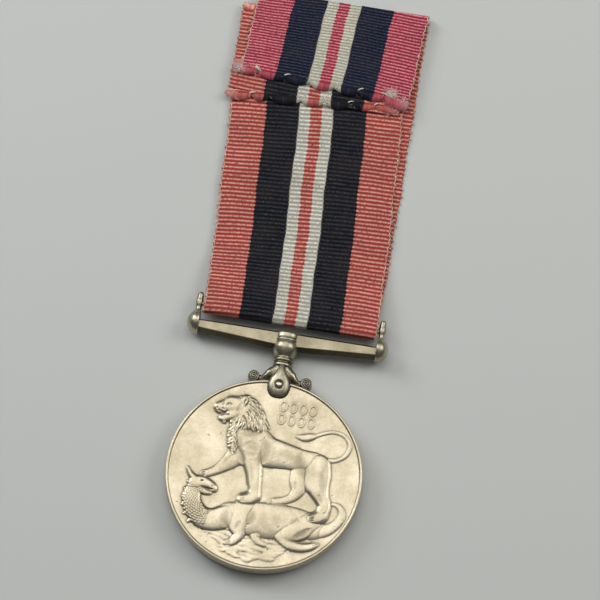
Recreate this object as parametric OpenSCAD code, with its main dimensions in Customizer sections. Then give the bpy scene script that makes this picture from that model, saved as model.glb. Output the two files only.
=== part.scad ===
// Military service medal: a struck disc hung by a claw and straight bar from a folded, stitched ribbon.
// Millimetres. The medal lies on its back: +Z up off the table, +Y from the disc to the ribbon's top.
// Every module is drawn about the disc's centre and mid-plane, and place() moves it into the part's frame,
// whose origin is at the centre of the footprint, on the table.

/* [Disc] */
// Diameter of the struck disc
disc_d = 36; // [34:0.5:38]
// Thickness of the disc at its rim
disc_t = 2.9; // [2.6:0.1:3.2]
// Width of the raised rim
rim_w = 0.5; // [0.4:0.1:0.8]
// Depth of the field below the rim, on each face
field_depth = 0.45; // [0.4:0.05:0.6]
// Height of the highest struck figures above the field
relief_h = 0.42; // [0.3:0.02:0.6]

/* [Claw] */
// Radius of the round toe that grips the rim
toe_r = 2.05; // [1.8:0.05:2.3]
// Thickness of the toe over the rim
toe_t = 0.9; // [0.7:0.05:1.1]
// Radius of the rivet through the toes and the disc
rivet_r = 0.55; // [0.4:0.05:0.65]
// Radius of the two scrolls that rest on the rim
scroll_r = 1.05; // [0.8:0.05:1.2]
// Distance between the centres of the two scrolls
scroll_gap = 9.8; // [9:0.2:11]

/* [Suspender] */
// Distance between the flat inner faces of the two end knobs
slot_w = 33.2; // [32.8:0.1:34]
// Radius of the half-round knob at each end of the bar
knob_r = 2.3; // [2:0.1:2.5]
// Height of the bar's front face beside the stem
bar_mid_h = 2.45; // [2:0.05:2.6]
// Height of the bar's front face beside the knobs
bar_end_h = 1.4; // [1.2:0.05:1.8]
// Thickness of the bar from front face to back face
bar_t = 2.4; // [2:0.1:2.6]
// Radius of the thin rod that carries the ribbon
rod_r = 0.45; // [0.35:0.05:0.5]

/* [Ribbon] */
// Width of the ribbon
ribbon_w = 32; // [31:0.1:32.2]
// Thickness of the ribbon
ribbon_t = 0.42; // [0.3:0.02:0.44]
// Distance from the disc's centre to the ribbon's top fold
ribbon_reach = 96.2; // [94:0.1:100]
// Sideways lean of the front ply, in degrees
front_lean = 2.75; // [0:0.05:2.8]
// Lean of the folded-over flap, in degrees
flap_lean = 4.4; // [0:0.1:4.6]

// Slant of the tucked inner end, in degrees
tuck_lean = 4; // [0:0.1:4.6]

/* [Hidden] */
$fn = 64;

nickel = [0.72, 0.69, 0.60];
dark_nickel = [0.42, 0.41, 0.36];
ribbon_red = [0.68, 0.22, 0.24];
thread_white = [0.90, 0.89, 0.85];

disc_r = disc_d / 2;
field_z = disc_t / 2 - field_depth;
rivet_proud = 0.12;
mid_z = disc_t / 2 + toe_t + rivet_proud;    // the disc's mid-plane above the table
disc_y = (disc_r - ribbon_reach) / 2;        // the disc's centre in the part's frame

toe_y = disc_r - 0.85;                       // centre of the round toe, which is the rivet's axis
toe_dome_r = 4.9;
neck_y = disc_r + 2.3;                       // where the toes run into the turned neck
joint_y = disc_r + 4.0;                      // where the claw's neck meets the stem
tenon_r = 0.8;
tenon_len = 1.2;
tenon_gap = 0.02;

stem_top_y = disc_r + 9.9;
stem_r = 2.05;
bulb_r = 2.35;
bulb_y = disc_r + 6.6;

bar_top_y = disc_r + 9.45;                   // the straight upper edge of the bar's front face
bar_bevel = 0.4;                             // how far the bar widens from its faces to its mid-plane
knob_y = bar_top_y - 0.15;
finial_x = slot_w / 2 + 0.62;
finial_top_y = disc_r + 15.2;
rod_seat = 0.35;                             // how far each end of the rod runs past the slot, into its post
rod_y = disc_r + 13.0;

loop_r = rod_r + 0.15 + ribbon_t / 2;        // centre-line radius of the loop round the rod
loop_y = disc_r + 11.25 + ribbon_t / 2 + loop_r;
ply_gap = 0.08;
back_z = ribbon_t / 2 - mid_z;
front_z = back_z + ribbon_t + ply_gap;
tuck_z = front_z + ribbon_t + ply_gap;       // the inner end, folded forwards and tucked under the flap
flap_z = tuck_z + ribbon_t + ply_gap;
fold_r = (flap_z - back_z) / 2;
fold_y = ribbon_reach - fold_r - ribbon_t / 2;
flap_end_y = disc_r + 60.3;
tuck_r = (tuck_z - front_z) / 2;
tuck_y = disc_r + 75.2 - tuck_r - ribbon_t / 2;
tuck_end_y = disc_r + 56.6;
lay_y = disc_r + 29;                         // where both plies have come down to lie flat
lean_y = disc_r + 15;                        // where the front ply starts to lean
ply_x = 0.15;                                // sideways shift of the back ply from the medal's centre line
stitch_r = 0.15;
stitch_len = 1.1;
stitch_inset = 1.2;                          // from an end of the ribbon to its row of stitches

// ---- helpers -------------------------------------------------------------------------------------

module place() { translate([0, disc_y, mid_z]) children(); }

// A Catmull-Rom curve through points p; closed joins its last point to its first.
function spline_at(a, b, c, d, u) =
    0.5 * (2 * b + (c - a) * u + (2 * a - 5 * b + 4 * c - d) * u * u + (3 * b - a - 3 * c + d) * u * u * u);
function closed_spline(p, n = 4) = let (k = len(p))
    [for (i = [0 : k - 1], j = [0 : n - 1])
        spline_at(p[(i + k - 1) % k], p[i], p[(i + 1) % k], p[(i + 2) % k], j / n)];
function open_spline(p, n = 4) = let (k = len(p))
    [for (i = [0 : k - 2], j = [0 : n - 1])
        spline_at(p[max(i - 1, 0)], p[i], p[i + 1], p[min(i + 2, k - 1)], j / n), p[k - 1]];

// The outline of a tapering strip of half-widths w0 to w1 along an open curve c.
function side(c, w0, w1, s) = let (k = len(c))
    [for (i = [0 : k - 1])
        let (t = c[min(i + 1, k - 1)] - c[max(i - 1, 0)], w = w0 + (w1 - w0) * i / (k - 1))
            c[i] + s * w * [-t[1], t[0]] / norm(t)];
function reversed(p) = [for (i = [len(p) - 1 : -1 : 0]) p[i]];
function strip(c, w0, w1) = concat(side(c, w0, w1, 1), reversed(side(c, w0, w1, -1)));

// A closed solid through rings of points, every ring having the same number of points.
module loft(rings) {
    n = len(rings[0]);
    k = len(rings);
    quads = [for (i = [0 : k - 2], j = [0 : n - 1]) [i * n + j, i * n + (j + 1) % n,
                                                  (i + 1) * n + (j + 1) % n, (i + 1) * n + j]];
    polyhedron(
        points = [for (ring = rings, p = ring) p],
        faces = concat([[for (j = [n - 1 : -1 : 0]) j]], [[for (j = [0 : n - 1]) (k - 1) * n + j]],
                       [for (q = quads) [q[0], q[1], q[2]]], [for (q = quads) [q[0], q[2], q[3]]]));
}

// A shape turned about the Y axis, from a profile of [radius, y] points that starts and ends on it.
module turned(profile) { rotate([-90, 0, 0]) rotate_extrude() polygon(profile); }

// ---- the disc ------------------------------------------------------------------------------------

lion_parts = [  // [height as a share of relief_h, outline]
    [0.45, [[4.3, .6], [6.9, .6], [7.7, -1.2], [8.8, -2.6], [10.4, -4.2], [9.6, -4.9], [6.4, -4.4],
            [3.6, -4.9], [1.6, -5.0], [1.4, -4.3], [2.6, -3.9], [4.8, -3.7], [5.6, -2.7], [5.0, -1.0]]],
    [0.45, [[-6.6, 3], [-5.2, 1], [-3.8, .6], [-4.9, -.3], [-6.6, -.7], [-8.2, -1.4], [-9.5, -2],
            [-10.7, -1.8], [-10.9, -1.1], [-9.4, -.3], [-7.8, 1]]],
    [0.75, [[.4, 7.5], [2.2, 6.9], [4.5, 6.4], [6.8, 5.9], [8.8, 5.5], [10.5, 4.9], [11.7, 3.6],
            [12.1, 1.8], [11, -.6], [8, 0], [5.2, .8], [2.4, .8], [-.4, .6], [-3.8, .8],
            [-5.5, 2.2], [-5.9, 4.2], [-5, 6.6], [-3.2, 8.2], [-1.1, 8.3]]],
    [0.85, [[6.9, 4], [9.6, 4.9], [11.7, 3.4], [12.1, 1.2], [11.9, -1], [12.2, -2.4], [13, -3.7],
            [12.7, -4.9], [12, -6.5], [10.8, -7.1], [9.7, -6.8], [10.1, -6], [11.1, -5.4],
            [11.2, -4.4], [10.3, -3.2], [8.9, -1.9], [7.7, 0], [6.9, 2]]],
    [0.85, [[-5.6, 4.4], [-2.8, 5.4], [-1.1, 4], [-.5, 2], [-.5, 0], [-.6, -2], [-.5, -4], [-.5, -5.3],
            [-1.8, -5.8], [-3.3, -5.8], [-3.6, -5.2], [-2.3, -4.4], [-2.3, -2.6], [-2.8, -.6],
            [-3.6, .9], [-5, 1.8]]],
    [1.00, [[-5.8, 14.7], [-4.3, 14.1], [-2.9, 12.7], [-1.7, 11], [-.6, 9.4], [.3, 7.9],
            [-1.5, 7.9], [-3.4, 7], [-4.6, 5.2], [-5.2, 3.2], [-6, 1.6], [-6.8, 3], [-7, 5],
            [-7.5, 7.2], [-7.8, 9.2], [-7, 11], [-6.9, 13.2]]],
    [0.90, [[-10.9, 11.9], [-10.5, 11.3], [-9.4, 10.9], [-9.9, 9.9], [-9.3, 9.1], [-8, 9],
            [-6.8, 10], [-6, 12], [-6.6, 13.9], [-8, 14], [-9.3, 13.3]]]];
tail_line = [[10.2, 4.9], [12, 4.7], [13.8, 5.3], [14.8, 6.9], [14.4, 8.8], [12.8, 10], [10.6, 10],
             [8.6, 9.2], [6.8, 8.5], [4.9, 8.5]];
beast_parts = [
    [0.6, [[-7, -6.8], [-5.4, -6], [-3.4, -5.9], [-1.2, -6.1], [1.4, -5.7], [4.2, -5.3],
            [7.2, -5.2], [9.8, -5.6], [11.7, -6.8], [12.3, -8.4], [12, -10.2], [10.6, -11.8],
            [8.6, -12.7], [5.8, -12.6], [3, -13], [0, -12.8], [-3, -12.4], [-5.6, -11.6],
            [-7.4, -10.2], [-7.9, -8.3]]],
    [0.8, [[3.8, -9.6], [5.2, -7.9], [7.6, -7.2], [10.2, -7.4], [11.4, -8.5], [11, -10.4],
           [9.2, -11.8], [6.8, -12.2], [4.8, -11.3]]],
    [0.8, [[-5.9, -8], [-4, -7.1], [-1.8, -7], [.1, -7.3], [0, -8.8], [-1.4, -10.8], [-3.4, -11.3],
           [-5.2, -10.3]]],
    [0.8, [[-12.7, -1.9], [-11.2, -1.2], [-9.6, -1.9], [-7.9, -3.5], [-8.1, -4.3], [-9.6, -4.3],
            [-11, -4.6], [-12.5, -3.6]]]];
beast_neck = [[-6.8, -9.6], [-9.4, -10.6], [-11.5, -9.4], [-12.5, -7], [-12.4, -4.8], [-11.7, -3]];
beast_tail = [[11.2, -10.8], [13.2, -8.8], [14.7, -6.4], [14.5, -4.4], [13.5, -3.8]];
ground = [[-11, -11.6], [-8, -11.4], [-4, -12.2], [0, -12.6], [4, -12.7], [8, -12.3], [11.2, -11],
          [9, -14], [4, -15.6], [0, -16], [-4, -15.7], [-8, -14.2]];
mark_x = [1.5, 3.4, 5.3, 7.0];               // two rows of plain marks
mark_rows = [13.5, 11.1];

leaf = closed_spline([[-1.35, 0], [-0.6, 0.5], [0.5, 0.45], [1.5, 0], [0.5, -0.45], [-0.6, -0.5]], 3);
leaf_rows = 8;                               // pairs of leaves up each side of the wreath
wreath_r = 12.6;

module struck(h, outline) {
    translate([0, 0, field_z - 0.05]) linear_extrude(h * relief_h + 0.05) polygon(outline);
}

module disc_blank() {
    half = disc_t / 2;
    rotate_extrude($fn = 128)
        polygon([[0, -field_z], [disc_r - rim_w, -field_z], [disc_r - rim_w, -half], [disc_r, -half],
                 [disc_r, half], [disc_r - rim_w, half], [disc_r - rim_w, field_z], [0, field_z]]);
}

module relief() {
    struck(0.35, closed_spline(ground, 3));
    for (b = beast_parts) struck(b[0], closed_spline(b[1], 3));
    struck(0.7, strip(open_spline(beast_neck), 1.5, 1.0));
    struck(0.5, strip(open_spline(beast_tail), 0.8, 0.35));
    struck(0.5, strip(open_spline(tail_line), 0.4, 0.22));
    for (b = lion_parts) struck(b[0], closed_spline(b[1], 3));
    for (y = mark_rows, x = mark_x)
        translate([x, y, field_z - 0.05]) difference() {
            cylinder(r = 0.75, h = 0.05 + relief_h * 0.4);
            translate([0, 0, -1]) cylinder(r = 0.5, h = 3);
        }
}

// The wreath on the underside: pairs of leaves up each side, open at the top.
module wreath() {
    for (side = [0, 1], i = [0 : leaf_rows - 1], out = [-1, 1])
        mirror([side, 0, 0]) rotate(-80 + i * 140 / (leaf_rows - 1))
            translate([wreath_r + out * 0.75, 0, 0]) rotate(90 - out * 28) struck(0.5, leaf);
}

module medal_disc() {
    color(nickel) place() difference() {
        union() {
            disc_blank();
            relief();
            mirror([0, 0, 1]) wreath();
        }
        translate([0, toe_y, -disc_t]) cylinder(r = rivet_r, h = 2 * disc_t);
    }
}

// ---- the claw and its rivet ----------------------------------------------------------------------

toe_touch = 28;                              // angle at which the toe's straight sides leave its circle
module toe_outline() {
    x = toe_r * cos(toe_touch);
    y = toe_y + toe_r * sin(toe_touch);
    top_x = x - (neck_y - y) * tan(toe_touch);
    translate([0, toe_y]) circle(toe_r);
    polygon([[-x, y], [0, toe_y], [x, y], [top_x, neck_y], [-top_x, neck_y]]);
}

// One toe: the outline, domed by a ball and a barrel.
module toe() {
    dome_z = disc_t / 2 + toe_t - toe_dome_r;
    intersection() {
        translate([0, 0, field_z - 0.2]) linear_extrude(3) toe_outline();
        translate([0, toe_y, dome_z]) union() {
            sphere(toe_dome_r, $fn = 96);
            rotate([-90, 0, 0]) cylinder(r = toe_dome_r, h = 6, $fn = 96);
        }
    }
}

shoulder_z = 1.25;
shoulder_c = [3.6, disc_r + 2.9];            // centre of the curve from the neck out to the scroll arm
shoulder_r = 2.1;
module web() {
    curve = [for (a = [180 : 10 : 250]) shoulder_c + shoulder_r * [cos(a), sin(a)]];
    translate([0, 0, -shoulder_z]) linear_extrude(2 * shoulder_z) polygon(concat(
        curve, [[2.8, disc_r - 0.6], [-2.8, disc_r - 0.6]], [for (p = reversed(curve)) [-p[0], p[1]]]));
}

arm_z = 0.95;
module scroll_side() {
    a = atan2(sqrt(pow(disc_r + scroll_r, 2) - pow(scroll_gap / 2, 2)), scroll_gap / 2);
    c = (disc_r + scroll_r) * [cos(a), sin(a)];
    translate([0, 0, -arm_z]) linear_extrude(2 * arm_z) polygon(concat(
        [for (t = [a : (84 - a) / 6 : 84.01]) (disc_r - 0.4) * [cos(t), sin(t)]],
        [for (t = [84 : (a - 84) / 6 : a - 0.01]) (disc_r + 1.15) * [cos(t), sin(t)]]));
    translate([c[0], c[1], -arm_z - 0.2]) difference() {
        cylinder(r = scroll_r, h = 2 * arm_z + 0.4);
        for (z = [-0.9, 2 * arm_z + 0.28]) translate([0, 0, z]) difference() {
            cylinder(r = scroll_r * 0.66, h = 1.02);
            translate([0, 0, -1]) cylinder(r = scroll_r * 0.42, h = 4);
        }
    }
}

module claw() {
    color(dark_nickel) place() difference() {
        union() {
            toe();
            mirror([0, 0, 1]) toe();
            web();
            scroll_side();
            mirror([1, 0, 0]) scroll_side();
            turned([[0, disc_r + 0.9], [1.15, disc_r + 1.3], [1.25, neck_y], [1.55, disc_r + 2.9],
                      [1.86, disc_r + 3.2], [1.86, disc_r + 3.6], [1.66, disc_r + 3.75],
            [1.66, joint_y], [0, joint_y]]);
        }
        disc_blank();
        translate([0, toe_y, -disc_t]) cylinder(r = rivet_r, h = 2 * disc_t);
        translate([0, joint_y - tenon_len, 0]) rotate([-90, 0, 0]) cylinder(r = tenon_r, h = tenon_len + 1);
    }
}

module claw_rivet() {
    head = disc_t / 2 + toe_t;
    head_r = 1.4;
    color(dark_nickel) place() translate([0, toe_y, 0]) {
        cylinder(r = rivet_r, h = 2 * head, center = true);
        for (s = [-1, 1]) intersection() {
            translate([0, 0, s * (head + rivet_proud - head_r)]) sphere(head_r);
            translate([0, 0, s * head]) cylinder(r = rivet_r, h = 2 * rivet_proud, center = true);
        }
    }
}

// ---- the suspender -------------------------------------------------------------------------------

bar_rings = [for (s = [1, 0, -1])
    let (h = s == 0 ? bar_mid_h : bar_end_h, x = s * slot_w / 2, f = bar_t / 2, b = bar_top_y - h)
        [[x, b, f], [x, b - bar_bevel, 0], [x, b, -f],
         [x, bar_top_y, -f], [x, bar_top_y + bar_bevel, 0], [x, bar_top_y, f]]];

module suspender_bar() { color(nickel) place() loft(bar_rings); }

module suspender_stem() {
    bulb = [for (a = [-52 : 8 : 44]) [bulb_r - 1.9 + 1.9 * cos(a), bulb_y + 1.9 * sin(a)]];
    color(dark_nickel) place() difference() {
        union() {
            turned(concat(
                [[0, joint_y], [1.62, joint_y], [1.82, joint_y + 0.15], [1.82, joint_y + 0.5],
                 [1.6, joint_y + 0.7]],
                bulb,
                [[1.92, disc_r + 8], [2.0, disc_r + 8.15], [2.0, disc_r + 8.4], [1.88, disc_r + 8.5],
                 [1.88, disc_r + 8.6], [stem_r, disc_r + 8.75], [stem_r, stem_top_y - 0.55],
                 [1.88, stem_top_y - 0.18], [1.5, stem_top_y], [0, stem_top_y]]));
            translate([0, joint_y - tenon_len + tenon_gap, 0]) rotate([-90, 0, 0])
                cylinder(r = tenon_r - tenon_gap, h = tenon_len + 0.5);
        }
        loft(bar_rings);
    }
}

// The small post on each knob: a narrow neck, a swelling that takes the rod's end, and a round tip.
finial = [[0, knob_y + 1.4], [0.48, knob_y + 1.4], [0.45, knob_y + 2.6], [0.47, knob_y + 2.95],
          [0.57, rod_y - 0.35], [0.6, rod_y], [0.59, rod_y + 0.4], [0.5, rod_y + 0.95],
          [0.48, finial_top_y - 0.7], [0.4, finial_top_y - 0.25], [0.22, finial_top_y - 0.04],
          [0, finial_top_y]];

// The half-round knob, flat towards the bar.
knob = concat([[0, 0]], [for (a = [3 : 6 : 87]) knob_r * [cos(a), sin(a)]], [[0, knob_r]]);

module bar_end() {
    translate([slot_w / 2, knob_y, 0]) rotate([0, 90, 0]) rotate_extrude() polygon(knob);
    translate([finial_x, 0, 0]) turned(finial);
}

module bar_end_left() { color(dark_nickel) place() mirror([1, 0, 0]) bar_end(); }
module bar_end_right() { color(dark_nickel) place() bar_end(); }

module ribbon_rod() {
    color(nickel) place() translate([0, rod_y, 0]) rotate([0, 90, 0])
        cylinder(r = rod_r, h = slot_w + 2 * rod_seat, center = true);
}

// ---- the ribbon ----------------------------------------------------------------------------------

function ease(u) = let (v = min(max(u, 0), 1)) 1 - v * v * (3 - 2 * v);
// Stations along the ribbon: [x of the centre line, y, z, slope angle in the YZ plane, lean in degrees].
// The slope angle is the direction of travel, 0 along +Y and 180 along -Y.
function front_x(y) = -max(y - lean_y, 0) * tan(front_lean);
tuck_x = front_x(tuck_y);
// Height of a ply at y, as it comes down from height z0 at the loop to height z1 where it lies flat.
function ply_z(y, z0, z1) = z1 + (z0 - z1) * ease((y - loop_y) / (lay_y - loop_y));
function ply_slope(y, z0, z1) = atan((ply_z(y + 0.01, z0, z1) - ply_z(y - 0.01, z0, z1)) / 0.02);

flap_stations = [for (i = [0 : 6]) let (y = flap_end_y + (fold_y - flap_end_y) * i / 6)
    [ply_x - (fold_y - y) * tan(flap_lean), y, flap_z, 0, -flap_lean * (1 - i / 6)]];
fold_stations = [for (a = [30 : 30 : 150])
    [ply_x, fold_y + fold_r * sin(a), back_z + fold_r + fold_r * cos(a), -a, 0]];
back_flat = [for (i = [0 : 8]) let (y = fold_y + (lay_y - fold_y) * i / 8) [ply_x, y, back_z, -180, 0]];
back_rise = [for (i = [1 : 12]) let (y = lay_y + (loop_y - lay_y) * i / 12)
    [ply_x * (1 - i / 12), y, ply_z(y, -loop_r, back_z), -180 + ply_slope(y, -loop_r, back_z), 0]];
loop_stations = [for (a = [15 : 15 : 165])
    [0, loop_y - loop_r * sin(a), -loop_r * cos(a), -180 - a, 0]];
front_fall = [for (i = [0 : 12]) let (y = loop_y + (lay_y - loop_y) * i / 12)
    [front_x(y), y, ply_z(y, loop_r, front_z), -360 + ply_slope(y, loop_r, front_z), front_lean * i / 12]];
front_flat = [for (i = [1 : 8]) let (y = lay_y + (tuck_y - lay_y) * i / 8)
    [front_x(y), y, front_z, -360, front_lean * (1 - max(i - 6, 0) / 2)]];
tuck_fold_stations = [for (a = [30 : 30 : 150])
    [tuck_x, tuck_y + tuck_r * sin(a), front_z + tuck_r - tuck_r * cos(a), -360 + a, 0]];
tuck_stations = [for (i = [0 : 4]) let (y = tuck_y + (tuck_end_y - tuck_y) * i / 4)
    [tuck_x, y, tuck_z, -180, -tuck_lean * i / 4]];

stations = concat(flap_stations, fold_stations, back_flat, back_rise, loop_stations,
                  front_fall, front_flat, tuck_fold_stations, tuck_stations);

// The four corners of the ribbon's section at a station.
function section(s) =
    let (across = ribbon_w / 2 * [cos(s[4]) , sin(s[4]) * cos(s[3]), sin(s[4]) * sin(s[3])],
         up = ribbon_t / 2 * [0, -sin(s[3]), cos(s[3])], c = [s[0], s[1], s[2]])
        [c - across - up, c + across - up, c + across + up, c - across + up];

module ribbon() { color(ribbon_red) place() loft([for (s = stations) section(s)]); }

// ---- the stitches --------------------------------------------------------------------------------

flap_stitch_x = [-12.6, -7.0, -1.6, 6.0, 10.4];
tuck_stitch_x = [-13.6, -8.2, -3.0, 2.6, 8.6];

// A short length of thread lying across the ribbon at x, y, on a surface at height z.
module stitch(x, y, z, turn) {
    translate([x, y, z + stitch_r + 0.02]) rotate([0, 90, turn]) {
        cylinder(r = stitch_r, h = stitch_len, center = true);
        for (s = [-1, 1]) translate([0, 0, s * stitch_len / 2]) sphere(stitch_r);
    }
}

module flap_stitches() {
    color(thread_white) place()
        for (i = [0 : len(flap_stitch_x) - 1])
            stitch(flap_stitch_x[i], flap_end_y + stitch_inset - flap_stitch_x[i] * tan(flap_lean),
                   flap_z + ribbon_t / 2, 12 * (i % 3 - 1));
}

module tuck_stitches() {
    color(thread_white) place()
        for (i = [0 : len(tuck_stitch_x) - 1])
            stitch(tuck_stitch_x[i], tuck_end_y + stitch_inset + (tuck_stitch_x[i] - tuck_x) * tan(tuck_lean),
                   tuck_z + ribbon_t / 2, 10 * (i % 2) - 5);
}

medal_disc();
claw();
claw_rivet();
suspender_stem();
suspender_bar();
bar_end_left();
bar_end_right();
ribbon_rod();
ribbon();
flap_stitches();
tuck_stitches();
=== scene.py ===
"""Looks of a service medal: struck disc, claw and bar suspender, and a folded, stitched ribbon."""
import math

import bpy
import numpy as np
from mathutils import Matrix, Vector


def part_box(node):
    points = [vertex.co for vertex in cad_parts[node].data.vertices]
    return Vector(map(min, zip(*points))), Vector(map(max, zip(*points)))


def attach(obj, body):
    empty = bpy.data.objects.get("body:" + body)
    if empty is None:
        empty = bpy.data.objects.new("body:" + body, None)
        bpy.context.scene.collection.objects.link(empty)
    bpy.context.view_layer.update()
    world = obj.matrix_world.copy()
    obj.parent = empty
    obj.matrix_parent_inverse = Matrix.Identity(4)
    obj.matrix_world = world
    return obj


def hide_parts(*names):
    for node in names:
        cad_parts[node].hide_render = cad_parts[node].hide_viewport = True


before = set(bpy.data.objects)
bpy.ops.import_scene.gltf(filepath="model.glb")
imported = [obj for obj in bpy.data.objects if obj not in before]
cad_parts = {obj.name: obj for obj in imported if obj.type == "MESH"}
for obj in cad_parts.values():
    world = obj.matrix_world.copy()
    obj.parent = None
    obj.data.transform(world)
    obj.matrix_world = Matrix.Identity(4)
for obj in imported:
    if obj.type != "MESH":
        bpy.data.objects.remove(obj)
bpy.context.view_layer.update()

# Shapes are worked out in millimetres about the disc's centre and mid-plane, as the CAD part is.
MM = 0.001
disc_low, disc_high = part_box("medal_disc")
CENTRE = np.array((disc_low + disc_high) / 2)
DISC_R = (disc_high.x - disc_low.x) / 2 / MM
HALF_T = (disc_high.z - disc_low.z) / 2 / MM
TABLE_Z = -CENTRE[2] / MM
UP = np.array([0, 0, 1.0])
TURN = 2 * math.pi


def rgb(r, g, b):
    """A colour given as 0 to 255 on a screen, made linear."""
    return tuple(((c / 255 + 0.055) / 1.055) ** 2.4 if c > 10 else c / 255 / 12.92 for c in (r, g, b)) + (1,)


def smoothstep(low, high, x):
    t = np.clip((x - low) / (high - low), 0, 1)
    return t * t * (3 - 2 * t)


def give_values(mesh, values):
    """Named numbers for each point, which the materials read."""
    for key, numbers in values.items():
        mesh.attributes.new(key, "FLOAT", "POINT").data.foreach_set("value", np.asarray(numbers, np.float32))


def link_object(name, data):
    made = bpy.data.objects.new(name, data)
    bpy.context.scene.collection.objects.link(made)
    return made


def add_mesh(name, points, faces, smooth=True, **values):
    """A mesh object from points in millimetres."""
    mesh = bpy.data.meshes.new(name)
    mesh.from_pydata((np.asarray(points, float) * MM + CENTRE).tolist(), [], faces)
    give_values(mesh, values)
    mesh.polygons.foreach_set("use_smooth", [smooth] * len(mesh.polygons))
    mesh.validate()
    return link_object(name, mesh)


def finish_piece(piece, body, slot, material, *nodes):
    piece.data.materials.clear()
    piece.data.materials.append(material)
    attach(piece, body)
    if nodes:
        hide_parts(*nodes)
    return piece


# ---- materials ----

class Shader:
    """A material's node tree, with short calls for the nodes that the materials share."""

    def __init__(self, name):
        self.material = bpy.data.materials.new(name)
        self.material.use_nodes = True
        self.tree = self.material.node_tree
        self.surface = self.tree.nodes["Principled BSDF"]

    def feed(self, sockets, values):
        for socket, value in zip(sockets, values):
            if isinstance(value, bpy.types.NodeSocket):
                self.tree.links.new(value, socket)
            else:
                socket.default_value = value

    def set(self, **inputs):
        self.feed([self.surface.inputs[key.replace("_", " ")] for key in inputs], inputs.values())

    def add(self, kind, inputs=None, **settings):
        made = self.tree.nodes.new("ShaderNode" + kind)
        for key, value in settings.items():
            setattr(made, key, value)
        inputs = inputs or {}
        self.feed([made.inputs[key] for key in inputs], inputs.values())
        return made

    def math(self, operation, *values, clamp=False):
        made = self.add("Math", operation=operation, use_clamp=clamp)
        self.feed(made.inputs, values)
        return made.outputs[0]

    def line(self, a, factor, offset=0.0, clamp=False):
        """a times factor plus offset."""
        return self.math("MULTIPLY_ADD", a, factor, offset, clamp=clamp)

    def value(self, name):
        return self.add("Attribute", attribute_name=name).outputs["Fac"]

    def ramp(self, factor, stops):
        made = self.add("ValToRGB", {"Fac": factor})
        elements = made.color_ramp.elements
        while len(elements) < len(stops):
            elements.new(1)
        for element, (at, colour) in zip(elements, stops):
            element.position = at
            element.color = colour if hasattr(colour, "__len__") else (colour,) * 3 + (1,)
        return made.outputs["Color"]

    def mix(self, factor, a, b):
        made = self.add("Mix", data_type="RGBA")
        self.feed((made.inputs[0], made.inputs[6], made.inputs[7]), (factor, a, b))
        return made.outputs[2]

    def place(self, scale=(1, 1, 1)):
        """Object coordinates in millimetres, stretched by scale."""
        coords = self.add("TexCoord").outputs["Object"]
        return self.add("Mapping", {"Vector": coords, "Scale": tuple(s / MM for s in scale)}).outputs[0]

    def join(self, x, y):
        return self.add("CombineXYZ", {"X": x, "Y": y}).outputs[0]

    def noise(self, where, scale, detail, roughness):
        return self.add("TexNoise", {"Vector": where, "Scale": scale, "Detail": detail,
                                     "Roughness": roughness}).outputs[0]

    def bump(self, height, distance, strength=1.0, normal=None):
        inputs = {"Height": height, "Distance": distance * MM, "Strength": strength}
        if normal is not None:
            inputs["Normal"] = normal
        return self.add("Bump", inputs).outputs[0]


def nickel(name, bright, toned, dark, rough, grain=(1, 1, 1), grain_depth=0.006):
    """Old cupro-nickel: pale metal with cloudy toning, fine scratches, painted shade and dirt darkening its creases,
    and worn crests.
    """
    s = Shader(name)
    where = s.place()
    cloud = s.noise(where, 0.22, 5, 0.62)
    speck = s.noise(where, 2.6, 4, 0.6)
    scratch = s.noise(s.place(grain), 5.0, 3, 0.7)
    tone_and_shade = s.line(speck, 0.45, s.line(cloud, 0.75))
    colour = s.mix(s.ramp(tone_and_shade, [(0.44, 0.0), (0.74, 1.0)]), bright, toned)
    colour = s.mix(s.ramp(s.noise(where, 1.1, 6, 0.75), [(0.60, 0.0), (0.72, 0.35)]), colour, dark)
    # Painted shade, with some real dirt: darker in the relief's hollows and outlines, the claw's grooves and throat,
    # and the bar's lower bevel.
    colour = s.mix(s.line(s.value("crease"), 0.9, clamp=True), colour, dark)
    colour = s.mix(s.line(s.value("crest"), 0.35, clamp=True), colour, bright)
    s.set(Base_Color=colour, Metallic=1.0, Roughness=s.line(cloud, 0.22, s.line(scratch, 0.16, rough - 0.19)),
          Normal=s.bump(speck, grain_depth * 2, 0.6, s.bump(scratch, grain_depth)))
    return s.material


DISC_METAL = nickel("disc_nickel", rgb(216, 206, 182), rgb(188, 177, 148), rgb(84, 77, 60), 0.36)
BAR_METAL = nickel("bar_nickel", rgb(184, 175, 150), rgb(154, 146, 121), rgb(50, 47, 38), 0.44, (6, 0.7, 1), 0.012)
DARK_METAL = nickel("toned_nickel", rgb(196, 190, 168), rgb(150, 144, 124), rgb(44, 42, 36), 0.36)
# The rivet's nickel is paler and smoother than the disc's: partly a polished head, partly a painted highlight on its
# dome.
RIVET_METAL = nickel("rivet_nickel", rgb(236, 230, 212), rgb(212, 205, 184), rgb(96, 90, 74), 0.27)

# ---- relief on the disc ----
# A figure is a set of round bars (x, y, z, radius), pressed into low relief as a die-sinker would.

FLANK = 4.2          # how steeply a figure falls away outside its bars
RELIEF_TOP = 0.5     # highest relief above the field
BELOW = -9.0         # height of a place that no bar covers
FIELD_Z = HALF_T - 0.45
DISH = 0.24          # how far the field rises from its middle to the rim
RIM_IN, RIM_TOP = 17.52, 17.78      # radii of the rim's inner edge and of its crown
FIGURE_R = 17.0      # the ground stops short of the rim


def nearest(x, y, a, b):
    """How far along the line from a to b each place is, from 0 to 1, and how far from it."""
    dx, dy = b[0] - a[0], b[1] - a[1]
    t = np.clip(((x - a[0]) * dx + (y - a[1]) * dy) / max(dx * dx + dy * dy, 1e-9), 0, 1)
    return t, np.hypot(x - a[0] - t * dx, y - a[1] - t * dy)


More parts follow.
